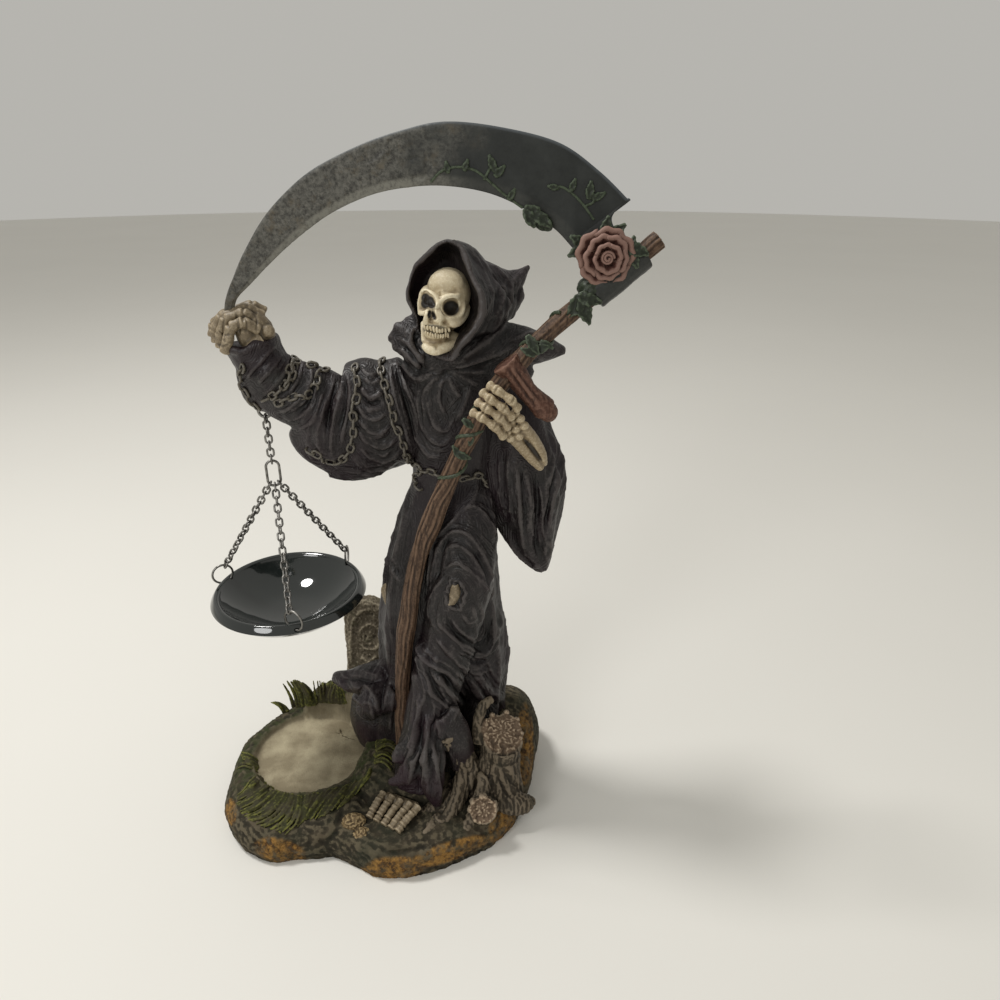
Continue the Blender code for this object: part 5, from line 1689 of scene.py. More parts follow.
def ground(look):
    """The rocky base with its recess."""
    skin = grown([base_plate()] + [blob(*m) for m in MOUNDS], GROUND_VOXEL)
    soften(skin, 2)
    carve(skin, with_threads(GROUND_STROKES))
    roughen(skin, 15, 0.55, 61)
    roughen(skin, 5, 0.34, 62, 3, (1, 1, 1.6), ridged=True)
    points, _ = arrays(skin)
    local = points / UNIT
    centre = np.array(HANG) / UNIT
    away = np.hypot(local[:, 0] - centre[0], local[:, 1] - centre[1])
    inside = np.clip((RECESS_RADIUS - away) / 1.1, 0, 1)
    dip = RECESS_FLOOR + 0.10 * waves(points, 7, 63)
    sunk = local[:, 2] * (1 - inside) + dip * inside
    local[:, 2] = np.where(local[:, 2] > RECESS_FLOOR - 3, sunk, local[:, 2])
    local[:, 2] = np.maximum(local[:, 2], 0)
    put(skin, local * UNIT)
    top = local[:, 2] > RECESS_FLOOR - 3
    give(skin, "recess", np.clip((RECESS_RADIUS + 0.6 - away) / 1.6, 0, 1) * top)
    # unevenly darker towards the recess's wall
    unevenness = 0.5 + 0.4 * waves(points, 9, 66)
    give(skin, "darker_toward_recess_wall", np.clip((away - RECESS_RADIUS + 3.5) / 4, 0, 1) * unevenness)
    low = np.clip((12.5 - local[:, 2]) / 3.5, 0, 1) * (local[:, 1] > 20) * (0.3 + waves(points, 26, 65))
    give(skin, "ochre", np.clip(np.maximum(shade_of(skin, OCHRE_PATCHES), low), 0, 1))
    ring = np.exp(-(((away - RECESS_RADIUS - 5) / 7) ** 2))
    give(skin, "green", ring * (local[:, 2] > 9))
    note_relief(skin, 2, 9)
    add_piece("ground", skin, look, "reaper_casting")
    return skin_tree(skin)


def strand(path, thick):
    count = len(path)
    return limb(path, [thick * (1.1 - 0.8 * k / (count - 1)) for k in range(count)], sides=8, per_span=3)


def between(guides, share):
    """The pixel path at a share of the way through the guide paths."""
    spread = share * (len(guides) - 1)
    first = min(int(spread), len(guides) - 2)
    part = spread - first
    shift = random.uniform(-1.3, 1.3), random.uniform(-1.0, 1.0)
    path = []
    for (u, v), (next_u, next_v) in zip(guides[first], guides[first + 1]):
        path.append((u + (next_u - u) * part + shift[0], v + (next_v - v) * part + shift[1]))
    return path


GRASS_LOCKS = [
    (34, 0.95, [
        [(259, 776), (252, 784), (245, 792), (238, 796)],
        [(266, 785), (256, 794), (246, 800), (236, 803)],
        [(275, 791), (264, 803), (252, 810), (240, 813)],
        [(284, 794), (276, 807), (264, 816), (248, 820)],
        [(292, 796), (288, 810), (277, 822), (262, 828)],
        [(301, 797), (301, 812), (296, 826), (284, 836)],
    ]),
    (30, 0.85, [
        [(306, 796), (305, 806), (302, 816), (297, 828)],
        [(325, 792), (319, 801), (311, 811), (303, 822)],
        [(340, 789), (333, 797), (323, 808), (314, 820)],
        [(352, 785), (345, 794), (336, 805), (327, 816)],
        [(364, 779), (358, 788), (349, 798), (340, 808)],
        [(371, 770), (368, 779), (362, 788), (354, 797)],
    ]),
    (30, 0.9, [
        [(258, 772), (250, 769), (243, 768), (235, 771)],
        [(256, 760), (248, 756), (240, 753), (231, 756)],
        [(262, 745), (253, 740), (245, 738), (236, 742)],
        [(268, 731), (260, 725), (252, 722), (243, 727)],
        [(276, 722), (268, 716), (261, 713), (253, 716)],
    ]),
    (22, 0.8, [
        [(374, 728), (380, 724), (387, 722), (394, 725)],
        [(376, 740), (383, 736), (390, 734), (397, 737)],
        [(377, 752), (384, 749), (391, 748), (397, 752)],
        [(374, 763), (381, 764), (387, 768), (391, 773)],
    ]),
    (20, 0.85, [
        [(318, 701), (316, 693), (314, 685), (317, 679)],
        [(330, 701), (329, 693), (327, 685), (331, 680)],
        [(343, 704), (343, 697), (341, 690), (345, 685)],
    ]),
]
STANDING_LOCKS = [
    (30, 1.25, 0.0, [
        [(283, 706), (280, 698), (277, 692), (275, 688)],
        [(295, 706), (292, 696), (288, 688), (284, 682)],
        [(307, 705), (305, 695), (301, 687), (296, 680)],
        [(316, 704), (314, 697), (311, 690), (306, 684)],
    ]),
    (22, 1.15, 0.0, [
        [(264, 721), (261, 716), (258, 712), (255, 709)],
        [(275, 716), (271, 710), (266, 705), (262, 702)],
        [(288, 711), (284, 706), (279, 703), (274, 702)],
    ]),
    (18, 1.0, 0.5, [
        [(318, 703), (316, 694), (315, 686), (314, 680)],
        [(332, 702), (331, 694), (333, 688), (334, 683)],
        [(346, 704), (345, 698), (343, 692), (341, 688)],
    ]),
]


def grass(look, tree):
    """Carved locks of grass that sweep away from the recess, and higher tufts behind it."""
    strands = []
    for count, thick, guides in GRASS_LOCKS:
        for k in range(count):
            lifts = (0.2, random.uniform(1.0, 1.8), random.uniform(0.8, 1.6), 0.3)
            path = []
            for (u, v), lift in zip(between(guides, k / (count - 1)), lifts):
                met = touched(tree, u, v)
                if met is not None:
                    path.append(met[0] + Vector((0, 0, lift)))
            if len(path) > 2:
                strands.append(strand(path, thick * random.uniform(0.8, 1.15)))
    for count, thick, back, guides in STANDING_LOCKS:
        for k in range(count):
            pixels = between(guides, k / (count - 1))
            met = touched(tree, *pixels[0])
            if met is not None:
                depth = met[0].y + back + random.uniform(-1.2, 1.2)
                path = [met[0]] + [spot(u, v, depth) for u, v in pixels[1:]]
                strands.append(strand(path, thick * random.uniform(0.8, 1.1)))
    skin = grown(strands, GRASS_VOXEL)
    roughen(skin, 2.4, 0.15, 71, 2)
    note_relief(skin, 1, 8)
    add_piece("grass", skin, look, "reaper_casting")


ROCKS = [((354, 822, 16), (5.2, 3.6, 3.8)), ((362, 834, 14), (3.8, 3, 2.6))]


def rocks(look):
    forms = [blob(ground_spot(*place), radii) for place, radii in ROCKS]
    skin = grown(forms, BONE_VOXEL)
    roughen(skin, 3.2, 0.45, 81, 3, (1, 1, 1), ridged=True)
    note_relief(skin, 2, 8)
    add_piece("small_rocks", skin, look, "reaper_casting")


# The stump


STUMP_CUTS = [
    (spot(503, 731, -22), (0.25, -0.62, 0.74), 9.4),
    (spot(447, 733, -27), (-0.1, -0.75, 0.65), 4.4),
    (spot(483, 810, -44), (0.1, -0.9, 0.42), 6.0),
]
STUMP_LIMBS = [
    ([(56, -22, 8), (57, -22, 26), (58.5, -22, 36)], [14, 10.5, 9.5]),
    ([spot(480, 740, -21), spot(479, 724, -20), spot(481, 710, -19), spot(487, 702, -18),
      spot(493, 699, -17)],
     [4.2, 3.0, 2.2, 1.9, 1.3]),
    ([(46, -24, 12), (43, -26, 34), (39, -26, 44)], [7, 4.8, 4.4]),
    ([(44, -26, 30), (34, -38, 15), (27, -46, 12), (24, -56, 9)], [5, 4.5, 4, 3]),
    ([(40, -28, 22), (30, -34, 16), (20, -40, 13)], [5, 4, 2.5]),
    ([(58, -28, 14), (68, -30, 12), (73, -26, 10)], [8, 5, 2.5]),
    ([(52, -30, 30), (46, -40, 16), (38, -50, 10)], [3.2, 3.0, 2.2]),
]
# Where the limb under each cut starts
STUMP_FEET = [(57, -21, 30), (40, -26, 38), (50, -31, 13)]
STUMP_STROKES = [
    (2.4, -1.1, [(449, 745), (452, 770), (448, 800), (436, 822)]),
    (2.4, 1.0, [(455, 750), (460, 775), (456, 800), (445, 826)]),
    (2.4, -1.0, [(463, 757), (468, 780), (462, 806)]),
    (2.4, -1.1, [(478, 748), (474, 765), (466, 780)]),
    (2.4, 1.0, [(486, 752), (482, 768), (478, 790)]),
    (2.2, -1.0, [(492, 756), (489, 774), (492, 792)]),
    (2.4, -1.0, [(500, 760), (506, 776), (520, 790)]),
    (2.4, 1.0, [(508, 764), (518, 782), (530, 792)]),
    (2.4, -1.0, [(496, 775), (505, 792), (512, 800)]),
    (2.4, 0.9, [(436, 818), (424, 834), (414, 850), (410, 868)]),
    (2.2, -0.9, [(440, 824), (428, 838), (420, 856)]),
    (2.2, 0.9, [(446, 826), (436, 838), (426, 848)]),
    (2.2, -1.0, [(492, 738), (494, 748), (491, 757)]),
    (2.2, -1.0, [(503, 742), (504, 752), (500, 762)]),
]


def stump_forms():
    made = [limb(*row) for row in STUMP_LIMBS]
    for (centre, normal, radius), start in zip(STUMP_CUTS, STUMP_FEET):
        tip = Vector(centre) + Vector(normal).normalized() * 3
        radii = [radius * 0.95, radius * 0.95, radius * 1.05]
        made.append(limb([start, Vector(start).lerp(tip, 0.5), tip], radii))
    return made


def splinters():
    """A few shards of torn wood on the rim of each cut."""
    made = []
    for centre, normal, radius in STUMP_CUTS:
        axis = Vector(normal).normalized()
        side = axis.orthogonal().normalized()
        other = axis.cross(side)
        for k in range(9):
            angle = 2 * math.pi * (k + random.uniform(-0.4, 0.4)) / 9
            out = side * math.cos(angle) + other * math.sin(angle)
            rim = Vector(centre) + out * radius * random.uniform(0.90, 0.96)
            tip = rim + axis * random.uniform(0.3, 1.5) + out * random.uniform(-0.4, 0.6)
            made.append(limb([rim - axis * 3, rim - axis * 0.5, tip], [1.3, 1.2, 0.3], sides=8, per_span=2))
    return made


def cut_place(local, centre, normal):
    """How far points lie above a cut and from its middle."""
    axis = np.array(Vector(normal).normalized())
    away = local - np.array(centre)
    height = away @ axis
    return height, np.linalg.norm(away - height[:, None] * axis, axis=1)


def cut_angle(local, centre, normal):
    """The angle of points round a cut's axis."""
    axis = Vector(normal).normalized()
    side = axis.orthogonal().normalized()
    away = local - np.array(centre)
    return np.arctan2(away @ np.array(axis.cross(side)), away @ np.array(side))


def stump(look):
    skin = grown(stump_forms(), WOOD_VOXEL)
    soften(skin, 3)
    points, normals = arrays(skin)
    local = points / UNIT
    for centre, normal, radius in STUMP_CUTS:
        height, across = cut_place(local, centre, normal)
        face = (across < radius * 1.2) & (height > -0.3) & (height < radius)
        axis = np.array(Vector(normal).normalized())
        local = np.where(face[:, None], local - (height + 0.3)[:, None] * axis, local)
    put(skin, local * UNIT)
    skin = grown([skin] + splinters(), WOOD_VOXEL)
    carve(skin, with_threads(STUMP_STROKES))
    points, normals = arrays(skin)
    cut, sink, spokes = np.zeros(len(points)), np.zeros(len(points)), np.zeros(len(points))
    ripple = waves(points, 3.0, 94, 2)
    for centre, normal, radius in STUMP_CUTS:
        height, across = cut_place(points / UNIT, centre, normal)
        level = np.clip(height + 1.8, 0, 1) * (height < 4)
        inner = np.clip((radius * 0.88 - across) / 1.5, 0, 1) * level
        cut = np.maximum(cut, np.clip(radius * 1.12 - across, 0, 1) * level)
        sink = np.maximum(sink, inner)
        turned = cut_angle(points / UNIT, centre, normal)
        spokes = np.maximum(spokes, np.abs(np.sin(6.5 * turned + 2.2 * ripple)) * inner)
    bark = 1 - 2 * np.abs(waves(points, 5.2, 91, 2, (1.4, 1.4, 0.16)))
    cracks = np.clip(0.22 - np.abs(waves(points, 3.4, 93, 2)), 0, 1) * 4.0 * cut
    lift = bark * 0.42 * (1 - cut) - sink * 0.9 + spokes * 0.6 - cracks * 0.5
    put(skin, points + normals * (lift * UNIT)[:, None])
    roughen(skin, 2.0, 0.10, 92, 2)
    give(skin, "cut", cut)
    note_relief(skin, 2, 9)
    add_piece("stump", skin, look, "reaper_casting")


# The tombstone


TOMB_PROFILE = [
    (-13.5, 8), (-12.5, 30), (-13, 50), (-12, 56), (-7, 60.5),
    (2, 61), (10, 58), (12, 48), (13, 8),
]
TOMB_STROKES = [
    (1.8, 0.8, [(352, 668), (350.5, 640), (353, 622), (360, 612), (371, 609), (379, 613)]),
    (1.8, 0.7, [(359, 640), (360.5, 630), (369.8, 624), (379, 629), (381, 640), (376, 648), (365, 648),
                (359, 640)]),
    (1.8, -0.8, [(364, 635.5), (367, 637.5)]),
    (1.8, -0.8, [(373, 637.5), (376.5, 635.5)]),
    (1.4, -0.7, [(369.8, 640), (370, 643)]),
    (1.2, -0.5, [(364, 645), (370, 646.5), (376, 645)]),
    (1.8, 0.8, [(359, 655), (368, 661), (379, 668)]),
    (1.8, 0.8, [(379, 655), (369, 661), (359, 668)]),
    (1.6, -0.7, [(345, 612), (346, 636), (345.5, 664)]),
    (1.6, -0.5, [(353, 605), (362, 598), (376, 599)]),
    (1.4, -0.45, [(355, 616), (361, 615)]),
    (1.4, -0.45, [(365, 614.5), (374, 614)]),
    (1.4, -0.45, [(354, 673), (364, 674)]),
    (1.4, -0.45, [(368, 674), (376, 675)]),
]


def tombstone(look):
    loops = []
    for y, share in ((-4.5, 0.94), (-3.5, 1.0), (3.5, 1.0), (4.5, 0.94)):
        loops.append([(x * share, y, 8 + (z - 8) * (1 + share) / 2) for x, z in TOMB_PROFILE])
    lean = Matrix.Rotation(math.radians(-6), 3, "X") @ Matrix.Rotation(math.radians(-10), 3, "Z")
    placed = []
    for loop in loops:
        placed.append([at(lean @ Vector(p) + Vector((-13, 46, 13))) for p in loop])
    skin = grown([loft(placed)], WOOD_VOXEL)
    soften(skin, 3)
    carve(skin, TOMB_STROKES)
    roughen(skin, 9, 0.35, 101)
    roughen(skin, 2.6, 0.20, 102, 2, (1, 1, 1), ridged=True)
    note_relief(skin, 2, 8)
    add_piece("tombstone", skin, look, "reaper_casting")


# Chains carved on the casting


def link_path(length, width, wire, count):
    """Points round the middle of a link's wire, in its own XZ plane."""
    reach, half = length / 2 - wire / 2, width / 2 - wire / 2
    straight = reach - half
    path = []
    for k in range(count):
        angle = 2 * math.pi * (k + 0.5) / count
        lift = straight if math.sin(angle) > 0 else -straight
        path.append(Vector((half * math.cos(angle), 0, half * math.sin(angle) + lift)))
    return path


def wire_loop(path, radius, sides):
    """A round wire along a closed flat path in the XZ plane."""
    bm = bmesh.new()
    count = len(path)
    rows = []
    for k, point in enumerate(path):
        way = (path[(k + 1) % count] - path[k - 1]).normalized()
        out = Vector((way.z, 0, -way.x))
        row = []
        for i in range(sides):
            angle = 2 * math.pi * i / sides
            spoke = (out * math.cos(angle) + Vector((0, 1, 0)) * math.sin(angle)) * radius
            row.append(bm.verts.new(point + spoke))
        rows.append(row)
    for k in range(count):
        low, high = rows[k], rows[(k + 1) % count]
        for i in range(sides):
            j = (i + 1) % sides
            bm.faces.new((low[i], low[j], high[j], high[i]))
    return mesh_from(bm)


CAST_LINK = (5.0, 3.7, 1.08)
CAST_CHAINS = {
    "wrist": [(287, 333), (293, 341), (299, 352), (293, 360), (290, 368), (286, 377), (284, 385),
              (278, 391), (270, 397), (260, 401)],
    "wrist_second": [(296, 338), (302, 347), (297, 362), (293, 374), (289, 384), (281, 389)],
    "forearm": [(311, 366), (323, 362), (326, 369), (317, 375), (317, 384), (311, 392), (302, 397),
                (293, 397), (284, 401), (275, 403)],
    "edge": [(243, 368), (241, 377), (243, 385), (247, 394), (252, 401), (257, 407)],
    "upper_arm": [(355, 368), (356.5, 377), (358, 386), (356.5, 397), (353.5, 407), (353, 416), (355, 424),
                  (353.5, 432), (352, 444), (347, 454), (338, 461), (327, 460), (317, 454), (309, 449)],
    "shoulder": [(382, 361), (381, 371), (384, 383), (388, 395), (393, 410), (394, 422), (399, 432),
                 (403, 443), (406, 454), (409, 462)],
}
WAIST_CHAINS = {
    "side": [(412, 457), (415, 463), (421, 468), (430, 471), (441, 474)],
    "waist": [(464, 478), (478, 475), (488, 484), (494, 489), (500, 494)],
    "hip": [(411, 465), (406, 471), (401, 482), (398, 494), (399, 503)],
    "dangling": [(420, 471), (415, 480), (420, 487)],
}


def laid_chain(tree, pixels):
    """Links laid on the skin under a path of pixels, flat and on edge by turns."""
    spots = []
    for u, v in smooth_path(pixels, 6):
        hit = touched(tree, u, v)
        if hit:
            spots.append((hit[0], hit[1]))
    length, width, wire = CAST_LINK
    pitch = length - 2 * wire + 0.15
    links = []
    travelled = pitch
    for (a, normal), (b, _) in zip(spots, spots[1:]):
        step = (b - a).length
        if step < 1e-6 or step > 8:
            continue
        travelled += step
        if travelled < pitch:
            continue
        travelled = 0.0
        way = (b - a).normalized()
        out = (normal - way * normal.dot(way)).normalized()
        face = out if len(links) % 2 == 0 else way.cross(out)
        face = (face + 0.35 * way.cross(face)).normalized()
        across = way.cross(face)
        pose = Matrix((across, face, way)).transposed().to_4x4()
        mesh = wire_loop([p * UNIT for p in link_path(length, width, wire, 14)], wire / 2 * UNIT, 8)
        mesh.transform(Matrix.Translation(at(a + out * 0.35)) @ pose)
        links.append(mesh)
    return links


def cast_chains(look, arm_tree, robe_tree):
    links = []
    for path in CAST_CHAINS.values():
        links += laid_chain(arm_tree, path)
    for path in WAIST_CHAINS.values():
        links += laid_chain(robe_tree, path)
    mesh = joined(links)
    note_relief(mesh, 1, 3)
    add_piece("cast_chains", mesh, look, "reaper_casting")


# The blade


BLADE = [
    ((-45, 236.4), (-41.6, 236.9)),
    ((-43.6, 241), (-39.4, 241.2)),
    ((-40, 248.2), (-33.8, 246.2)),
    ((-33.4, 259), (-25.8, 253.4)),
    ((-23.6, 271.4), (-15, 262)),
    ((-9, 283.4), (-2.4, 270.2)),
    ((8, 291.6), (12, 276.4)),
    ((24.8, 297), (26, 279.2)),
    ((40, 299.6), (40, 279.6)),
    ((59, 297.8), (55, 277.1)),
    ((78.2, 293.1), (68.5, 271.3)),
    ((92, 284.4), (77.5, 265.5)),
    ((102.2, 275.6), (82.6, 260.6)),
    ((102.2, 275.6), (82.6, 260.6)),
    ((97.4, 270.6), (84.6, 258.4)),
    ((97.6, 267), (86.4, 255.6)),
    ((101, 262.4), (88.6, 251.2)),
    ((104.4, 255.6), (92.4, 245.6)),
]
BLADE_TIP_Y = -5.0
BLADE_HEEL_Y = -11.5
SPINE_THICKNESS = 2.8
EDGE_THICKNESS = 0.9
BLADE_MARKS = [
    (1.8, -0.5, [(404, 165), (413, 158), (424, 160), (428, 170), (422, 178), (413, 177), (410, 170),
                 (415, 166)]),
    (1.6, 0.5, [(378, 150), (384, 162), (396, 176), (410, 188)]),
    (1.5, 0.5, [(388, 150), (380, 158), (368, 166)]),
]
BLADE_VINES = [
    [(428, 186), (440, 172), (456, 167), (474, 170), (488, 180), (505, 195), (523, 208)],
    [(484, 180), (489, 170), (494, 161)],
    [(594, 220), (585, 207), (574, 195), (562, 187), (552, 188)],
    [(584, 206), (592, 203), (598, 196)],
]
VINE_LEAVES = [
    (492, 163, (-0.4, 0, 1), 5.5),
    (500, 171, (0.7, 0, 0.7), 5),
    (590, 190, (0.1, 0, 1), 6),
    (599, 196, (0.8, 0, 0.4), 5),
    (573, 185, (0.4, 0, 1), 4.5),
    (553, 187, (-1, 0, 0.2), 4),
    (447, 167, (-0.2, 0, 1), 4),
    (466, 165, (0.4, 0, 1), 4),
    (512, 194, (0.5, 0, 0.8), 4.5),
]


def blade_row(share, count):
    """Points round the blade's section at a share of its length, and marks for back, edge and face."""
    values = smooth_row([(*b, *e) for b, e in BLADE], share)
    y = BLADE_TIP_Y + (BLADE_HEEL_Y - BLADE_TIP_Y) * share
    outer, inner = Vector((values[0], y, values[1])), Vector((values[2], y, values[3]))
    half, thin = SPINE_THICKNESS / 2, EDGE_THICKNESS / 2
    row, marks = [], []
    for side in (-1, 1):
        steps = range(count + 1) if side < 0 else range(count, -1, -1)
        for k in steps:
            t = k / count
            if t < 0.07:
                thick = half * (0.62 + 0.38 * t / 0.07)
            elif t > 0.78:
                thick = half + (thin - half) * (t - 0.78) / 0.22
            else:
                thick = half
            row.append(at(outer.lerp(inner, t) + Vector((0, side * thick, 0))))
            marks.append(t)
    return row, marks


def blade(look):
    along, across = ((300, 40))
    loops, backs, worn = [], [], []
    for k in range(along + 1):
        row, marks = blade_row(k / along, across)
        loops.append(row)
        backs += marks
        worn += [k / along] * len(row)
    mesh = loft(loops)
    backs, worn = np.array(backs), np.array(worn)
    carve(mesh, BLADE_MARKS, 2.0)
    points, normals = arrays(mesh)
    dents = waves(points, 11, 111, 3) * 0.12 * np.clip(1.1 - worn * 2, 0.1, 1)
    chips = np.clip(waves(points, 3.2, 112, 2) - 0.45, 0, 1) * 0.5 * (backs > 0.97)
    put(mesh, points + normals * ((dents - chips) * UNIT)[:, None])
    give(mesh, "worn", np.clip((0.50 - worn + 0.05 * waves(points, 20, 113)) / 0.10, 0, 1))
    give(mesh, "edge", np.clip((backs - 0.80) / 0.06, 0, 1) * np.clip((0.52 - worn) / 0.12, 0.12, 1))
    # the blade's back is marked for a painted highlight, stronger towards the heel
    give(mesh, "painted_spine_highlight", np.clip((0.045 - backs) / 0.03, 0, 1) * np.clip((worn - 0.2) / 0.2, 0.3, 1))
    note_relief(mesh, 1, 8)
    add_piece("blade", mesh, look, "scythe_blade")
    return skin_tree(mesh)


def blade_vines(look, tree):
    """Raised stems with small leaves that run over the blade's face."""
    forms = []
    for path in BLADE_VINES:
        met = [touched(tree, u, v) for u, v in smooth_path(path, 3)]
        places = [place + normal * 0.15 for place, normal in (m for m in met if m is not None)]
        if len(places) > 2:
            forms.append(limb(places, [0.50] * len(places), sides=8, per_span=2))
    for u, v, way, size in VINE_LEAVES:
        met = touched(tree, u, v)
        if met is not None:
            forms.append(leaf(met[0] + met[1] * 0.3, way, met[1], size, size * 0.6, 0.05))
    skin = grown(forms, BONE_VOXEL)
    note_relief(skin, 1, 8)
    add_piece("blade_vines", skin, look, "scythe_blade")


COLLAR = (91.4, -14.8, 244.1), (108.5, -12.4, 257.9)
COLLAR_RADII = [5.9, 6.0, 5.8]


def collar(look):
    """The socket that holds the blade on the staff."""
    low, high = COLLAR
    path = [Vector(low).lerp(Vector(high), s) for s in (0.0, 0.5, 1.0)]
    skin = grown([limb(path, COLLAR_RADII)], WOOD_VOXEL)
    roughen(skin, 6, 0.12, 121)
    give(skin, "worn", np.full(len(skin.vertices), 0.12))
    for name in ("edge", "painted_spine_highlight"):
        give(skin, name, np.zeros(len(skin.vertices)))
    note_relief(skin)
    add_piece("blade_collar", skin, look, "scythe_blade")


# The rose and the leaves


ROSE = (94.8, -16.5, 257.4)
ROSE_TURN = Matrix.Rotation(math.radians(90), 3, "X")
PETALS = [
    # how many, first angle, reach, height of the lip and of the foot
    (5, 0.2, 10.2, 3.2, 0.2),
    (5, 0.85, 7.6, 5.4, 1.2),
    (4, 0.4, 5.0, 6.8, 2.6),
]
ROSE_LIPS = [(0, 7.6), (3.0, 7.4), (5.0, 6.6), (7.6, 5.2), (10.2, 3.0), (12, 2.4)]
PETAL_THICKNESS = 0.9
LEAF_THICKNESS = 0.8
# Where on the staff each vine starts and ends, its turns and how far out it winds
VINE_WRAPS = [(0.52, 0.63, 1.8, 3.75), (0.74, 0.80, 1.2, 3.7)]
STAFF_LEAVES = [
    (533, 345, -26.2, (0.5, -0.2, -0.8), 8),
    (541, 349, -25.2, (0.9, 0, 0.3), 7),
    (528, 352, -26.5, (-0.8, 0, 0.4), 6),
    (547, 345, -24.5, (0.7, 0, -0.4), 5.5),
    (475, 410, -26.8, (0.3, 0, 0.95), 6),
    (469, 424, -26.5, (0.7, 0, -0.6), 6),
    (463, 456, -26, (0.8, 0, -0.3), 6.5),
    (457, 452, -25.5, (-0.5, 0, 0.8), 6),
    (471, 440, -26, (0.3, 0, 0.9), 5),
]
COLLAR_BUDS = [((90.5, -14.8, 246.3), (5.0, 5.6, 4.2)), ((72.8, -10.5, 268.2), (4.2, 2.6, 2.8), 35)]
BLADE_LEAVES = [
    (577, 305, -20, (-0.6, 0, -0.8), 11),
    (585, 312, -20.5, (0.4, 0, -0.9), 10),
    (590, 300, -20.5, (0.9, 0, -0.2), 9),
    (536, 214, -12.2, (0.9, 0, -0.45), 9),
    (530, 219, -12.6, (0.5, 0, -0.85), 7),
    (543, 220, -12.6, (0.8, 0, -0.6), 8),
    (581, 243, -15.5, (-0.8, 0, 0.5), 9),
    (578, 251, -16, (-0.6, 0, -0.3), 8),
    (606, 228, -15, (0.2, 0, 1.0), 8),
    (616, 232, -15, (0.8, 0, 0.6), 8),
    (637, 250, -18.5, (0.9, 0, -0.3), 9),
    (633, 258, -18.5, (0.5, 0, -0.9), 8),
    (631, 246, -17.5, (0.3, 0, 0.9), 7),
]


def petal(centre, angle, reach, lip, foot_height, wide):
    """A cupped petal with a lip that rolls out, standing on the flower's face."""
    across, up = 16, 14
    rows = []
    for j in range(up + 1):
        t = j / up
        row = []
        for i in range(across + 1):
            s = 2 * i / across - 1
            turn = angle + s * wide * (0.50 + 0.50 * t)
            lobe = 1 - 0.13 * abs(s) ** 2.4 - 0.04 * math.cos(3 * math.pi * s) * t
            out = (0.30 + 0.70 * t ** 0.8) * reach * lobe
            height = foot_height + (lip - foot_height) * min(1.0, t / 0.86) ** 1.7 * (1 - 0.10 * abs(s))
            height -= max(0.0, t - 0.84) * 4.5
            flat = Vector((out * math.cos(turn), out * math.sin(turn), height + 0.25 * s))
            row.append(at(Vector(centre) + ROSE_TURN @ flat))
        rows.append(row)
    return sheet(rows, PETAL_THICKNESS)


def heart(centre):
    """The rolled heart of the rose."""
    coil = []
    for k in range(22):
        angle = 0.62 * k
        radius = 2.3 * (1 - k / 26)
        flat = Vector((radius * math.cos(angle), radius * math.sin(angle), 6.4 + 0.03 * k))
        coil.append(Vector(centre) + ROSE_TURN @ flat)
    return [
        limb(coil, [0.48] * len(coil), sides=8, per_span=2),
        blob(Vector(centre) + ROSE_TURN @ Vector((0, 0, 2.6)), (2.6, 3.4, 2.6)),
        blob(centre, (6.2, 2.6, 6.2)),
    ]


def rose(look):
    petals = []
    for count, start, reach, lip, foot_height in PETALS:
        for k in range(count):
            angle = start + 2 * math.pi * k / count + random.uniform(-0.12, 0.12)
            far = reach * random.uniform(0.94, 1.05)
            petals.append(petal(ROSE, angle, far, lip, foot_height, 4.1 / count))
    skin = joined(petals + heart(ROSE))
    note_relief(skin, 1, 6)
    points, _ = arrays(skin)
    away = points / UNIT - np.array(ROSE)
    across = np.hypot(away[:, 0], away[:, 2])
    lips = np.interp(across, *zip(*ROSE_LIPS))
    give(skin, "hollow", 0.12 - np.clip((lips + away[:, 1] - 0.5) / 1.9, 0, 1) * 0.45)
    add_piece("rose", skin, look, "scythe_blade")


def leaf(centre, way, out, length, width, curl):
    """A pointed leaf with a sunk midrib and raised veins."""
    way = Vector(way).normalized()
    out = Vector(out)
    out = (out - way * out.dot(way)).normalized()
    side = way.cross(out)
    across, up = 12, 18
    rows = []
    for j in range(up + 1):
        t = j / up
        half = width / 2 * (math.sin(math.pi * min(1.0, t * 0.92 + 0.06)) ** 0.8) * (1 - 0.35 * t)
        half *= 1 + 0.10 * math.sin(9 * math.pi * t)
        row = []
        for i in range(across + 1):
            s = 2 * i / across - 1
            rise = 0.35 * abs(s) * width / 4 + 0.10 * math.sin(14 * (t - 0.35 * abs(s)))
            rise += curl * length * (t - 0.5) ** 2 * -1.2
            place = Vector(centre) + way * (t - 0.5) * length + side * s * half + out * rise
            row.append(at(place))
        rows.append(row)
    return sheet(rows, LEAF_THICKNESS)


def vine_wrap(low, high, turns, radius):
    """A stem that winds round the staff between two places of it."""
    path = []
    count = int(10 * turns)
    for k in range(count + 1):
        share = low + (high - low) * k / count
        centre = smooth_row(STAFF, share)
        ahead = smooth_row(STAFF, min(share + 0.01, 1.0))
        way = Vector(ahead - centre).normalized()
        side = way.orthogonal().normalized()
        other = way.cross(side)
        angle = 2 * math.pi * turns * k / count
        path.append(Vector(centre) + (side * math.cos(angle) + other * math.sin(angle)) * radius)
    return limb(path, [0.75] * len(path), sides=8, per_span=2)


def staff_leaves(look):
    forms = [vine_wrap(*row) for row in VINE_WRAPS]
    for u, v, y, way, size in STAFF_LEAVES:
        forms.append(leaf(spot(u, v, y), way, (0.1, -1, 0.3), size, size * 0.55, 0.2))
    skin = grown(forms, BONE_VOXEL)
    note_relief(skin, 1, 8)
    add_piece("staff_leaves", skin, look, "reaper_casting")


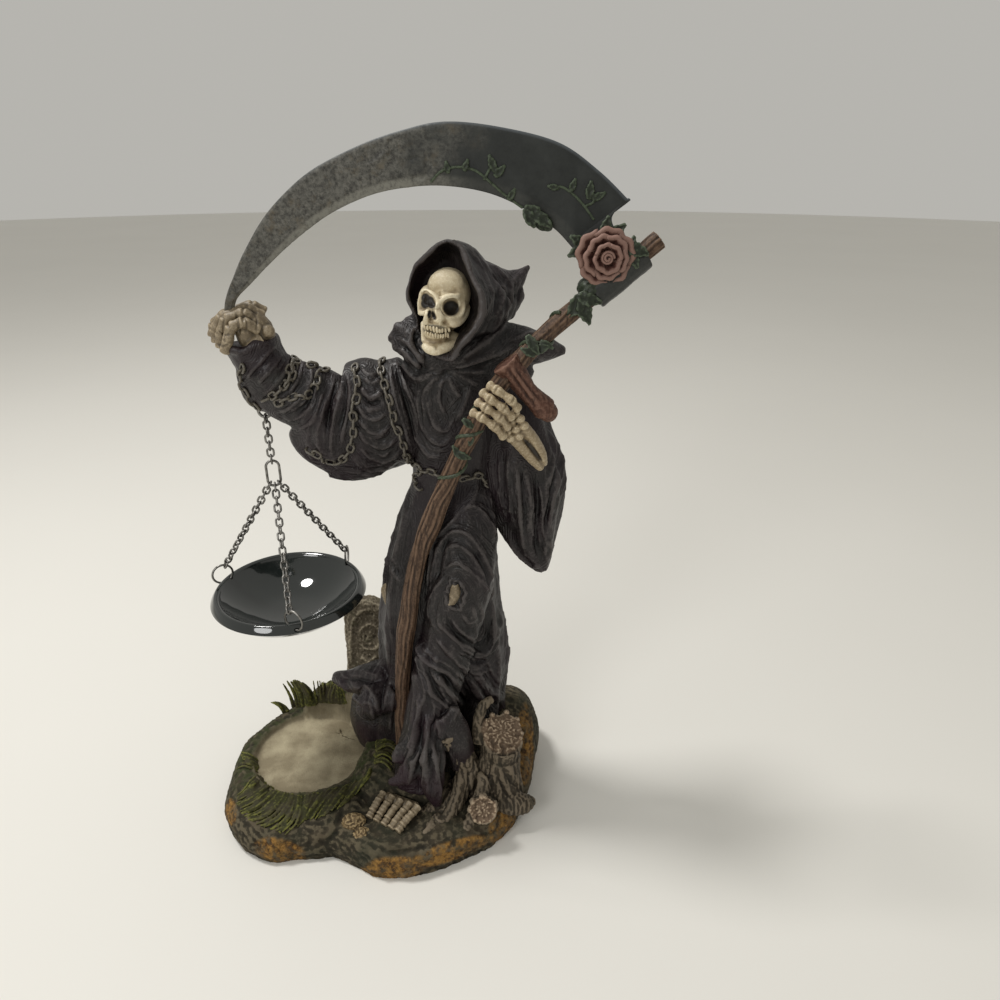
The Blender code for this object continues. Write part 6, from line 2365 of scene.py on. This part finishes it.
def blade_leaves(look):
    forms = []
    for u, v, y, way, size in BLADE_LEAVES:
        forms.append(leaf(spot(u, v, y), way, (0, -1, 0.25), size, size * 0.62, 0.15))
    forms += [blob(*row) for row in COLLAR_BUDS]
    skin = grown(forms, BONE_VOXEL)
    roughen(skin, 3, 0.25, 131, 2)
    note_relief(skin, 1, 8)
    add_piece("blade_leaves", skin, look, "scythe_blade")


# The dish and what it hangs from


DISH_DEPTH = 0.0160
DISH_WALL = 0.0024
DISH_LIP = 0.0047
RING_RADIUS = 0.0045
RING_WIRE = 0.0010
RING_RISE = 0.0023
LINK_LENGTH = 0.0047
LINK_WIDTH = 0.0035
LINK_WIRE = 0.0009
HOOK_LENGTH = 0.0124
HOOK_WIDTH = 0.0064
HOOK_WIRE = 0.0011
EYE_RADIUS = 0.0026
EYE_WIRE = 0.0013
EYE_SHANK = 0.0060
GAP = 0.0004
TOUCH = 0.00008
TOP_LINKS = 7
SIDE_LINKS = 18
RINGS = 3
FIRST_RING_ANGLE = math.radians(48)
RING_YAW = math.radians(45)
LINK_PITCH = LINK_LENGTH - 2 * LINK_WIRE + TOUCH
RING_CENTRE = DISH_RADIUS - 0.3 * DISH_LIP
HOOK_TURN = FIRST_RING_ANGLE + math.pi / RINGS - math.pi / 2
WIRE_EYE_Z = 192.6 * UNIT + EYE_RADIUS


def hook_top():
    eye_seat = WIRE_EYE_Z - EYE_RADIUS + EYE_WIRE / 2 + GAP / 2
    return eye_seat - (TOP_LINKS * LINK_PITCH - TOUCH) + GAP / 2 + HOOK_WIRE


def hook_seat(share):
    """A point on the middle of the hook's wire at a share of the round from its bottom, and its tangent."""
    bend = HOOK_WIDTH / 2 - HOOK_WIRE / 2
    middle = Vector((HANG.x, HANG.y, hook_top() - HOOK_LENGTH + HOOK_WIDTH / 2))
    turn = share * math.pi
    side = Vector((math.cos(HOOK_TURN), math.sin(HOOK_TURN), 0))
    up = Vector((0, 0, 1))
    place = middle + side * bend * math.sin(turn) - up * bend * math.cos(turn)
    return place, side * math.cos(turn) + up * math.sin(turn)


def ring_places():
    rings = []
    for k, side in enumerate(("right", "left", "front")):
        angle = FIRST_RING_ANGLE + 2 * math.pi * k / RINGS
        out = Vector((math.cos(angle), math.sin(angle), 0))
        centre = Vector((HANG.x, HANG.y, CREST_Z + RING_RISE)) + out * RING_CENTRE
        rings.append((side, centre, angle + RING_YAW))
    return rings


def hoop(radius, wire, count, sides):
    turns = [2 * math.pi * k / count for k in range(count)]
    path = [Vector((radius * math.cos(t), 0, radius * math.sin(t))) for t in turns]
    return wire_loop(path, wire / 2, sides)


def placed_ring(centre, turn, wire, count=40, sides=10):
    mesh = hoop(RING_RADIUS, wire, count, sides)
    mesh.transform(Matrix.Translation(centre) @ Matrix.Rotation(turn, 4, "Z"))
    return mesh


def square_to(vector, way):
    return (vector - way * vector.dot(way)).normalized()


def chain(start, end, count, first_normal, last_normal):
    """Links from start to end, which are the inner ends of the first and the last link."""
    way = (end - start).normalized()
    pitch = ((end - start).length + TOUCH) / count
    length = pitch + 2 * LINK_WIRE - TOUCH
    first, last = square_to(first_normal, way), square_to(last_normal, way)
    turned = Matrix.Rotation(math.pi / 2 * (count - 1), 3, way) @ first
    slack = math.atan2(way.dot(turned.cross(last)), turned.dot(last))
    slack = (slack + math.pi / 2) % math.pi - math.pi / 2
    step = math.pi / 2 + slack / (count - 1)
    links = []
    for k in range(count):
        normal = Matrix.Rotation(step * k, 3, way) @ first
        pose = Matrix((normal.cross(-way), normal, -way)).transposed().to_4x4()
        mesh = wire_loop(link_path(length, LINK_WIDTH, LINK_WIRE, 18), LINK_WIRE / 2, 10)
        mesh.transform(Matrix.Translation(start + way * (length / 2 - LINK_WIRE + k * pitch)) @ pose)
        links.append(mesh)
    return joined(links)


def dish_profile():
    inner = DISH_RADIUS - DISH_LIP
    crest = DISH_RADIUS - 0.5 * DISH_LIP
    deep = DISH_DEPTH - DISH_WALL
    drop = 0.38 * DISH_LIP
    rows = [(0.0, -deep)]
    for share in (0.4, 0.66, 0.86, 1.0):
        rows.append((inner * share, -drop - (deep - drop) * (1 - share**2.6)))
    rows += [(inner + 0.22 * DISH_LIP, -0.1 * DISH_LIP), (crest, 0.0)]
    rows += [(crest + 0.2 * DISH_LIP, -0.14 * DISH_LIP), (DISH_RADIUS, -0.64 * DISH_LIP)]
    edge, fall = DISH_RADIUS - 0.12 * DISH_LIP, 0.82 * DISH_LIP
    for share in (1.0, 0.86, 0.66, 0.4):
        rows.append((edge * share, -fall - (DISH_DEPTH - fall) * (1 - share**2.6)))
    rows.append((0.0, -DISH_DEPTH))
    return rows


def dish(look):
    """The glazed bowl, turned finer than its solid and pierced for its rings."""
    fine = smooth_path(dish_profile(), 5)
    bm = bmesh.new()
    row = [bm.verts.new((max(x, 0.0), 0, z)) for x, z in fine]
    for first, second in zip(row, row[1:]):
        bm.edges.new((first, second))
    mesh = bpy.data.meshes.new("profile")
    bm.to_mesh(mesh)
    bm.free()
    turned = loose("turned", mesh)
    turn = turned.modifiers.new("Turn", "SCREW")
    turn.steps = turn.render_steps = 144
    turn.use_merge_vertices = True
    turn.merge_threshold = 0.00002
    bowl = take(turned)
    bm = bmesh.new()
    bm.from_mesh(bowl)
    bmesh.ops.remove_doubles(bm, verts=bm.verts, dist=0.000005)
    bowl = mesh_from(bm)
    bowl.transform(Matrix.Translation(Vector((HANG.x, HANG.y, CREST_Z))))
    tunnels = [placed_ring(centre, yaw, RING_WIRE + 2 * GAP, 32, 10) for _, centre, yaw in ring_places()]
    piece = add_piece("glazed_dish", cut_away(bowl, tunnels), look, "oil_dish")
    piece.data.set_sharp_from_angle(angle=math.radians(50))


def hanging_chains(look):
    hook = wire_loop(link_path(HOOK_LENGTH, HOOK_WIDTH, HOOK_WIRE, 36), HOOK_WIRE / 2, 12)
    middle = Vector((HANG.x, HANG.y, hook_top() - HOOK_LENGTH / 2))
    hook.transform(Matrix.Translation(middle) @ Matrix.Rotation(HOOK_TURN, 4, "Z"))
    add_piece("hook_loop", hook, look, "chain_hook")
    for (side, centre, yaw), share in zip(ring_places(), (0.27, -0.27, 0.0)):
        add_piece(f"ring_{side}", placed_ring(centre, yaw, RING_WIRE), look, f"dish_ring_{side}")
        seat, seat_way = hook_seat(share)
        normal = Vector((-math.sin(yaw), math.cos(yaw), 0))
        toward = square_to(seat - centre, normal)
        end = centre + toward * (RING_RADIUS - RING_WIRE / 2 - GAP / 2)
        start = seat - (end - seat).normalized() * (HOOK_WIRE / 2 + GAP / 2)
        mesh = chain(start, end, SIDE_LINKS, seat_way, normal.cross(toward))
        add_piece(f"links_{side}", mesh, look, f"chain_{side}")
    start = Vector((HANG.x, HANG.y, WIRE_EYE_Z - EYE_RADIUS + EYE_WIRE / 2 + GAP / 2))
    end = Vector((HANG.x, HANG.y, hook_top() - HOOK_WIRE - GAP / 2))
    mesh = chain(start, end, TOP_LINKS, Vector((1, 0, 0)), hook_seat(0)[1])
    add_piece("links_top", mesh, look, "chain_top")


def wrist_eye(look):
    eye = hoop(EYE_RADIUS, EYE_WIRE, 36, 12)
    eye.transform(Matrix.Translation(Vector((HANG.x, HANG.y, WIRE_EYE_Z))))
    low = Vector((HANG.x, HANG.y, WIRE_EYE_Z + EYE_RADIUS)) / UNIT
    high = Vector((HANG.x, HANG.y, WIRE_EYE_Z + EYE_SHANK)) / UNIT
    shank = limb([low, low.lerp(high, 0.5), high], [EYE_WIRE / 2 / UNIT] * 3)
    add_piece("wire_eye", joined([eye, shank]), look, "wrist_eye")


# The floor, the lights and the camera


def floor():
    bm = bmesh.new()
    bmesh.ops.create_circle(bm, cap_ends=True, radius=4.0, segments=96)
    plane = loose("floor", mesh_from(bm))
    look, tree, shader = start_look("floor", 0.6, specular=0.2)
    shade = mixed(tree, noise(tree, 3.0, 3.0), (0.75, 0.735, 0.69), (0.79, 0.775, 0.73))
    tree.links.new(shade, shader.inputs["Base Color"])
    plane.data.materials.append(look)


def area_light(name, place, target, size, power, colour):
    lamp = bpy.data.lights.new(name, "AREA")
    lamp.shape = "DISK"
    lamp.size = size
    lamp.energy = power
    lamp.color = colour
    made = bpy.data.objects.new(name, lamp)
    made.location = place
    made.rotation_euler = (Vector(target) - Vector(place)).to_track_quat("-Z", "Y").to_euler()
    bpy.context.scene.collection.objects.link(made)


LIT_PLACE = (0.02, 0, 0.12)
LAMPS = [
    ("key", (-0.42, 0.10, 1.12), 0.22, 7.2, (1.0, 0.985, 0.96)),
    ("fill", (-0.55, -0.95, 0.75), 0.5, 4.0, (1.0, 1.0, 0.99)),
]


def lights():
    """A soft lamp high on the left, a weaker one in front, and an even pale room."""
    for name, place, size, power, colour in LAMPS:
        area_light(name, place, LIT_PLACE, size, power, colour)
    world = bpy.data.worlds.new("studio")
    world.use_nodes = True
    background = world.node_tree.nodes["Background"]
    background.inputs["Color"].default_value = (0.47, 0.46, 0.43, 1)
    background.inputs["Strength"].default_value = 1.0
    bpy.context.scene.world = world


SENSOR_WIDTH = 36


def camera():
    lens = bpy.data.cameras.new("camera")
    lens.sensor_width = SENSOR_WIDTH
    lens.lens = SENSOR_WIDTH * FOCAL / (2 * MIDDLE)
    made = bpy.data.objects.new("camera", lens)
    made.location = at(EYE)
    made.rotation_euler = (math.pi / 2 - PITCH, 0, 0)
    bpy.context.scene.collection.objects.link(made)
    bpy.context.scene.camera = made
    bpy.context.scene.view_settings.view_transform = "Standard"


def main():
    cloth = robe_look()
    ivory = bone_look("painted_skull", *SKULL_TONES)
    light_bone = bone_look("painted_bone", *BONE_TONES)
    tan_bone = bone_look("painted_tan_bone", *TAN_BONE_TONES)
    staff_wood = wood_look("painted_staff", *STAFF_TONES, (1, 1, 0.15))
    peg_wood = wood_look("painted_peg", *PEG_TONES, (1, 1, 0.2))
    metal = wire_look()
    leaves = leaf_look()
    steel = blade_look()

    robe_piece = robe(cloth)
    arm_piece = arm(cloth)
    drooping_sleeve(cloth)
    skull(ivory)
    bones(light_bone, tan_bone, skin_tree(robe_piece.data))
    staff(staff_wood)
    peg(peg_wood)
    cast_chains(cast_chain_look(), skin_tree(arm_piece.data), skin_tree(robe_piece.data))
    ground_tree = ground(ground_look())
    grass(grass_look(), ground_tree)
    rocks(ground_rock_look())
    stump(stump_look())
    tombstone(stone_look())
    blade_tree = blade(steel)
    blade_vines(leaves, blade_tree)
    collar(steel)
    rose(rose_look())
    staff_leaves(leaves)
    blade_leaves(leaves)
    dish(glaze_look())
    hanging_chains(metal)
    wrist_eye(metal)
    floor()
    lights()
    camera()


main()
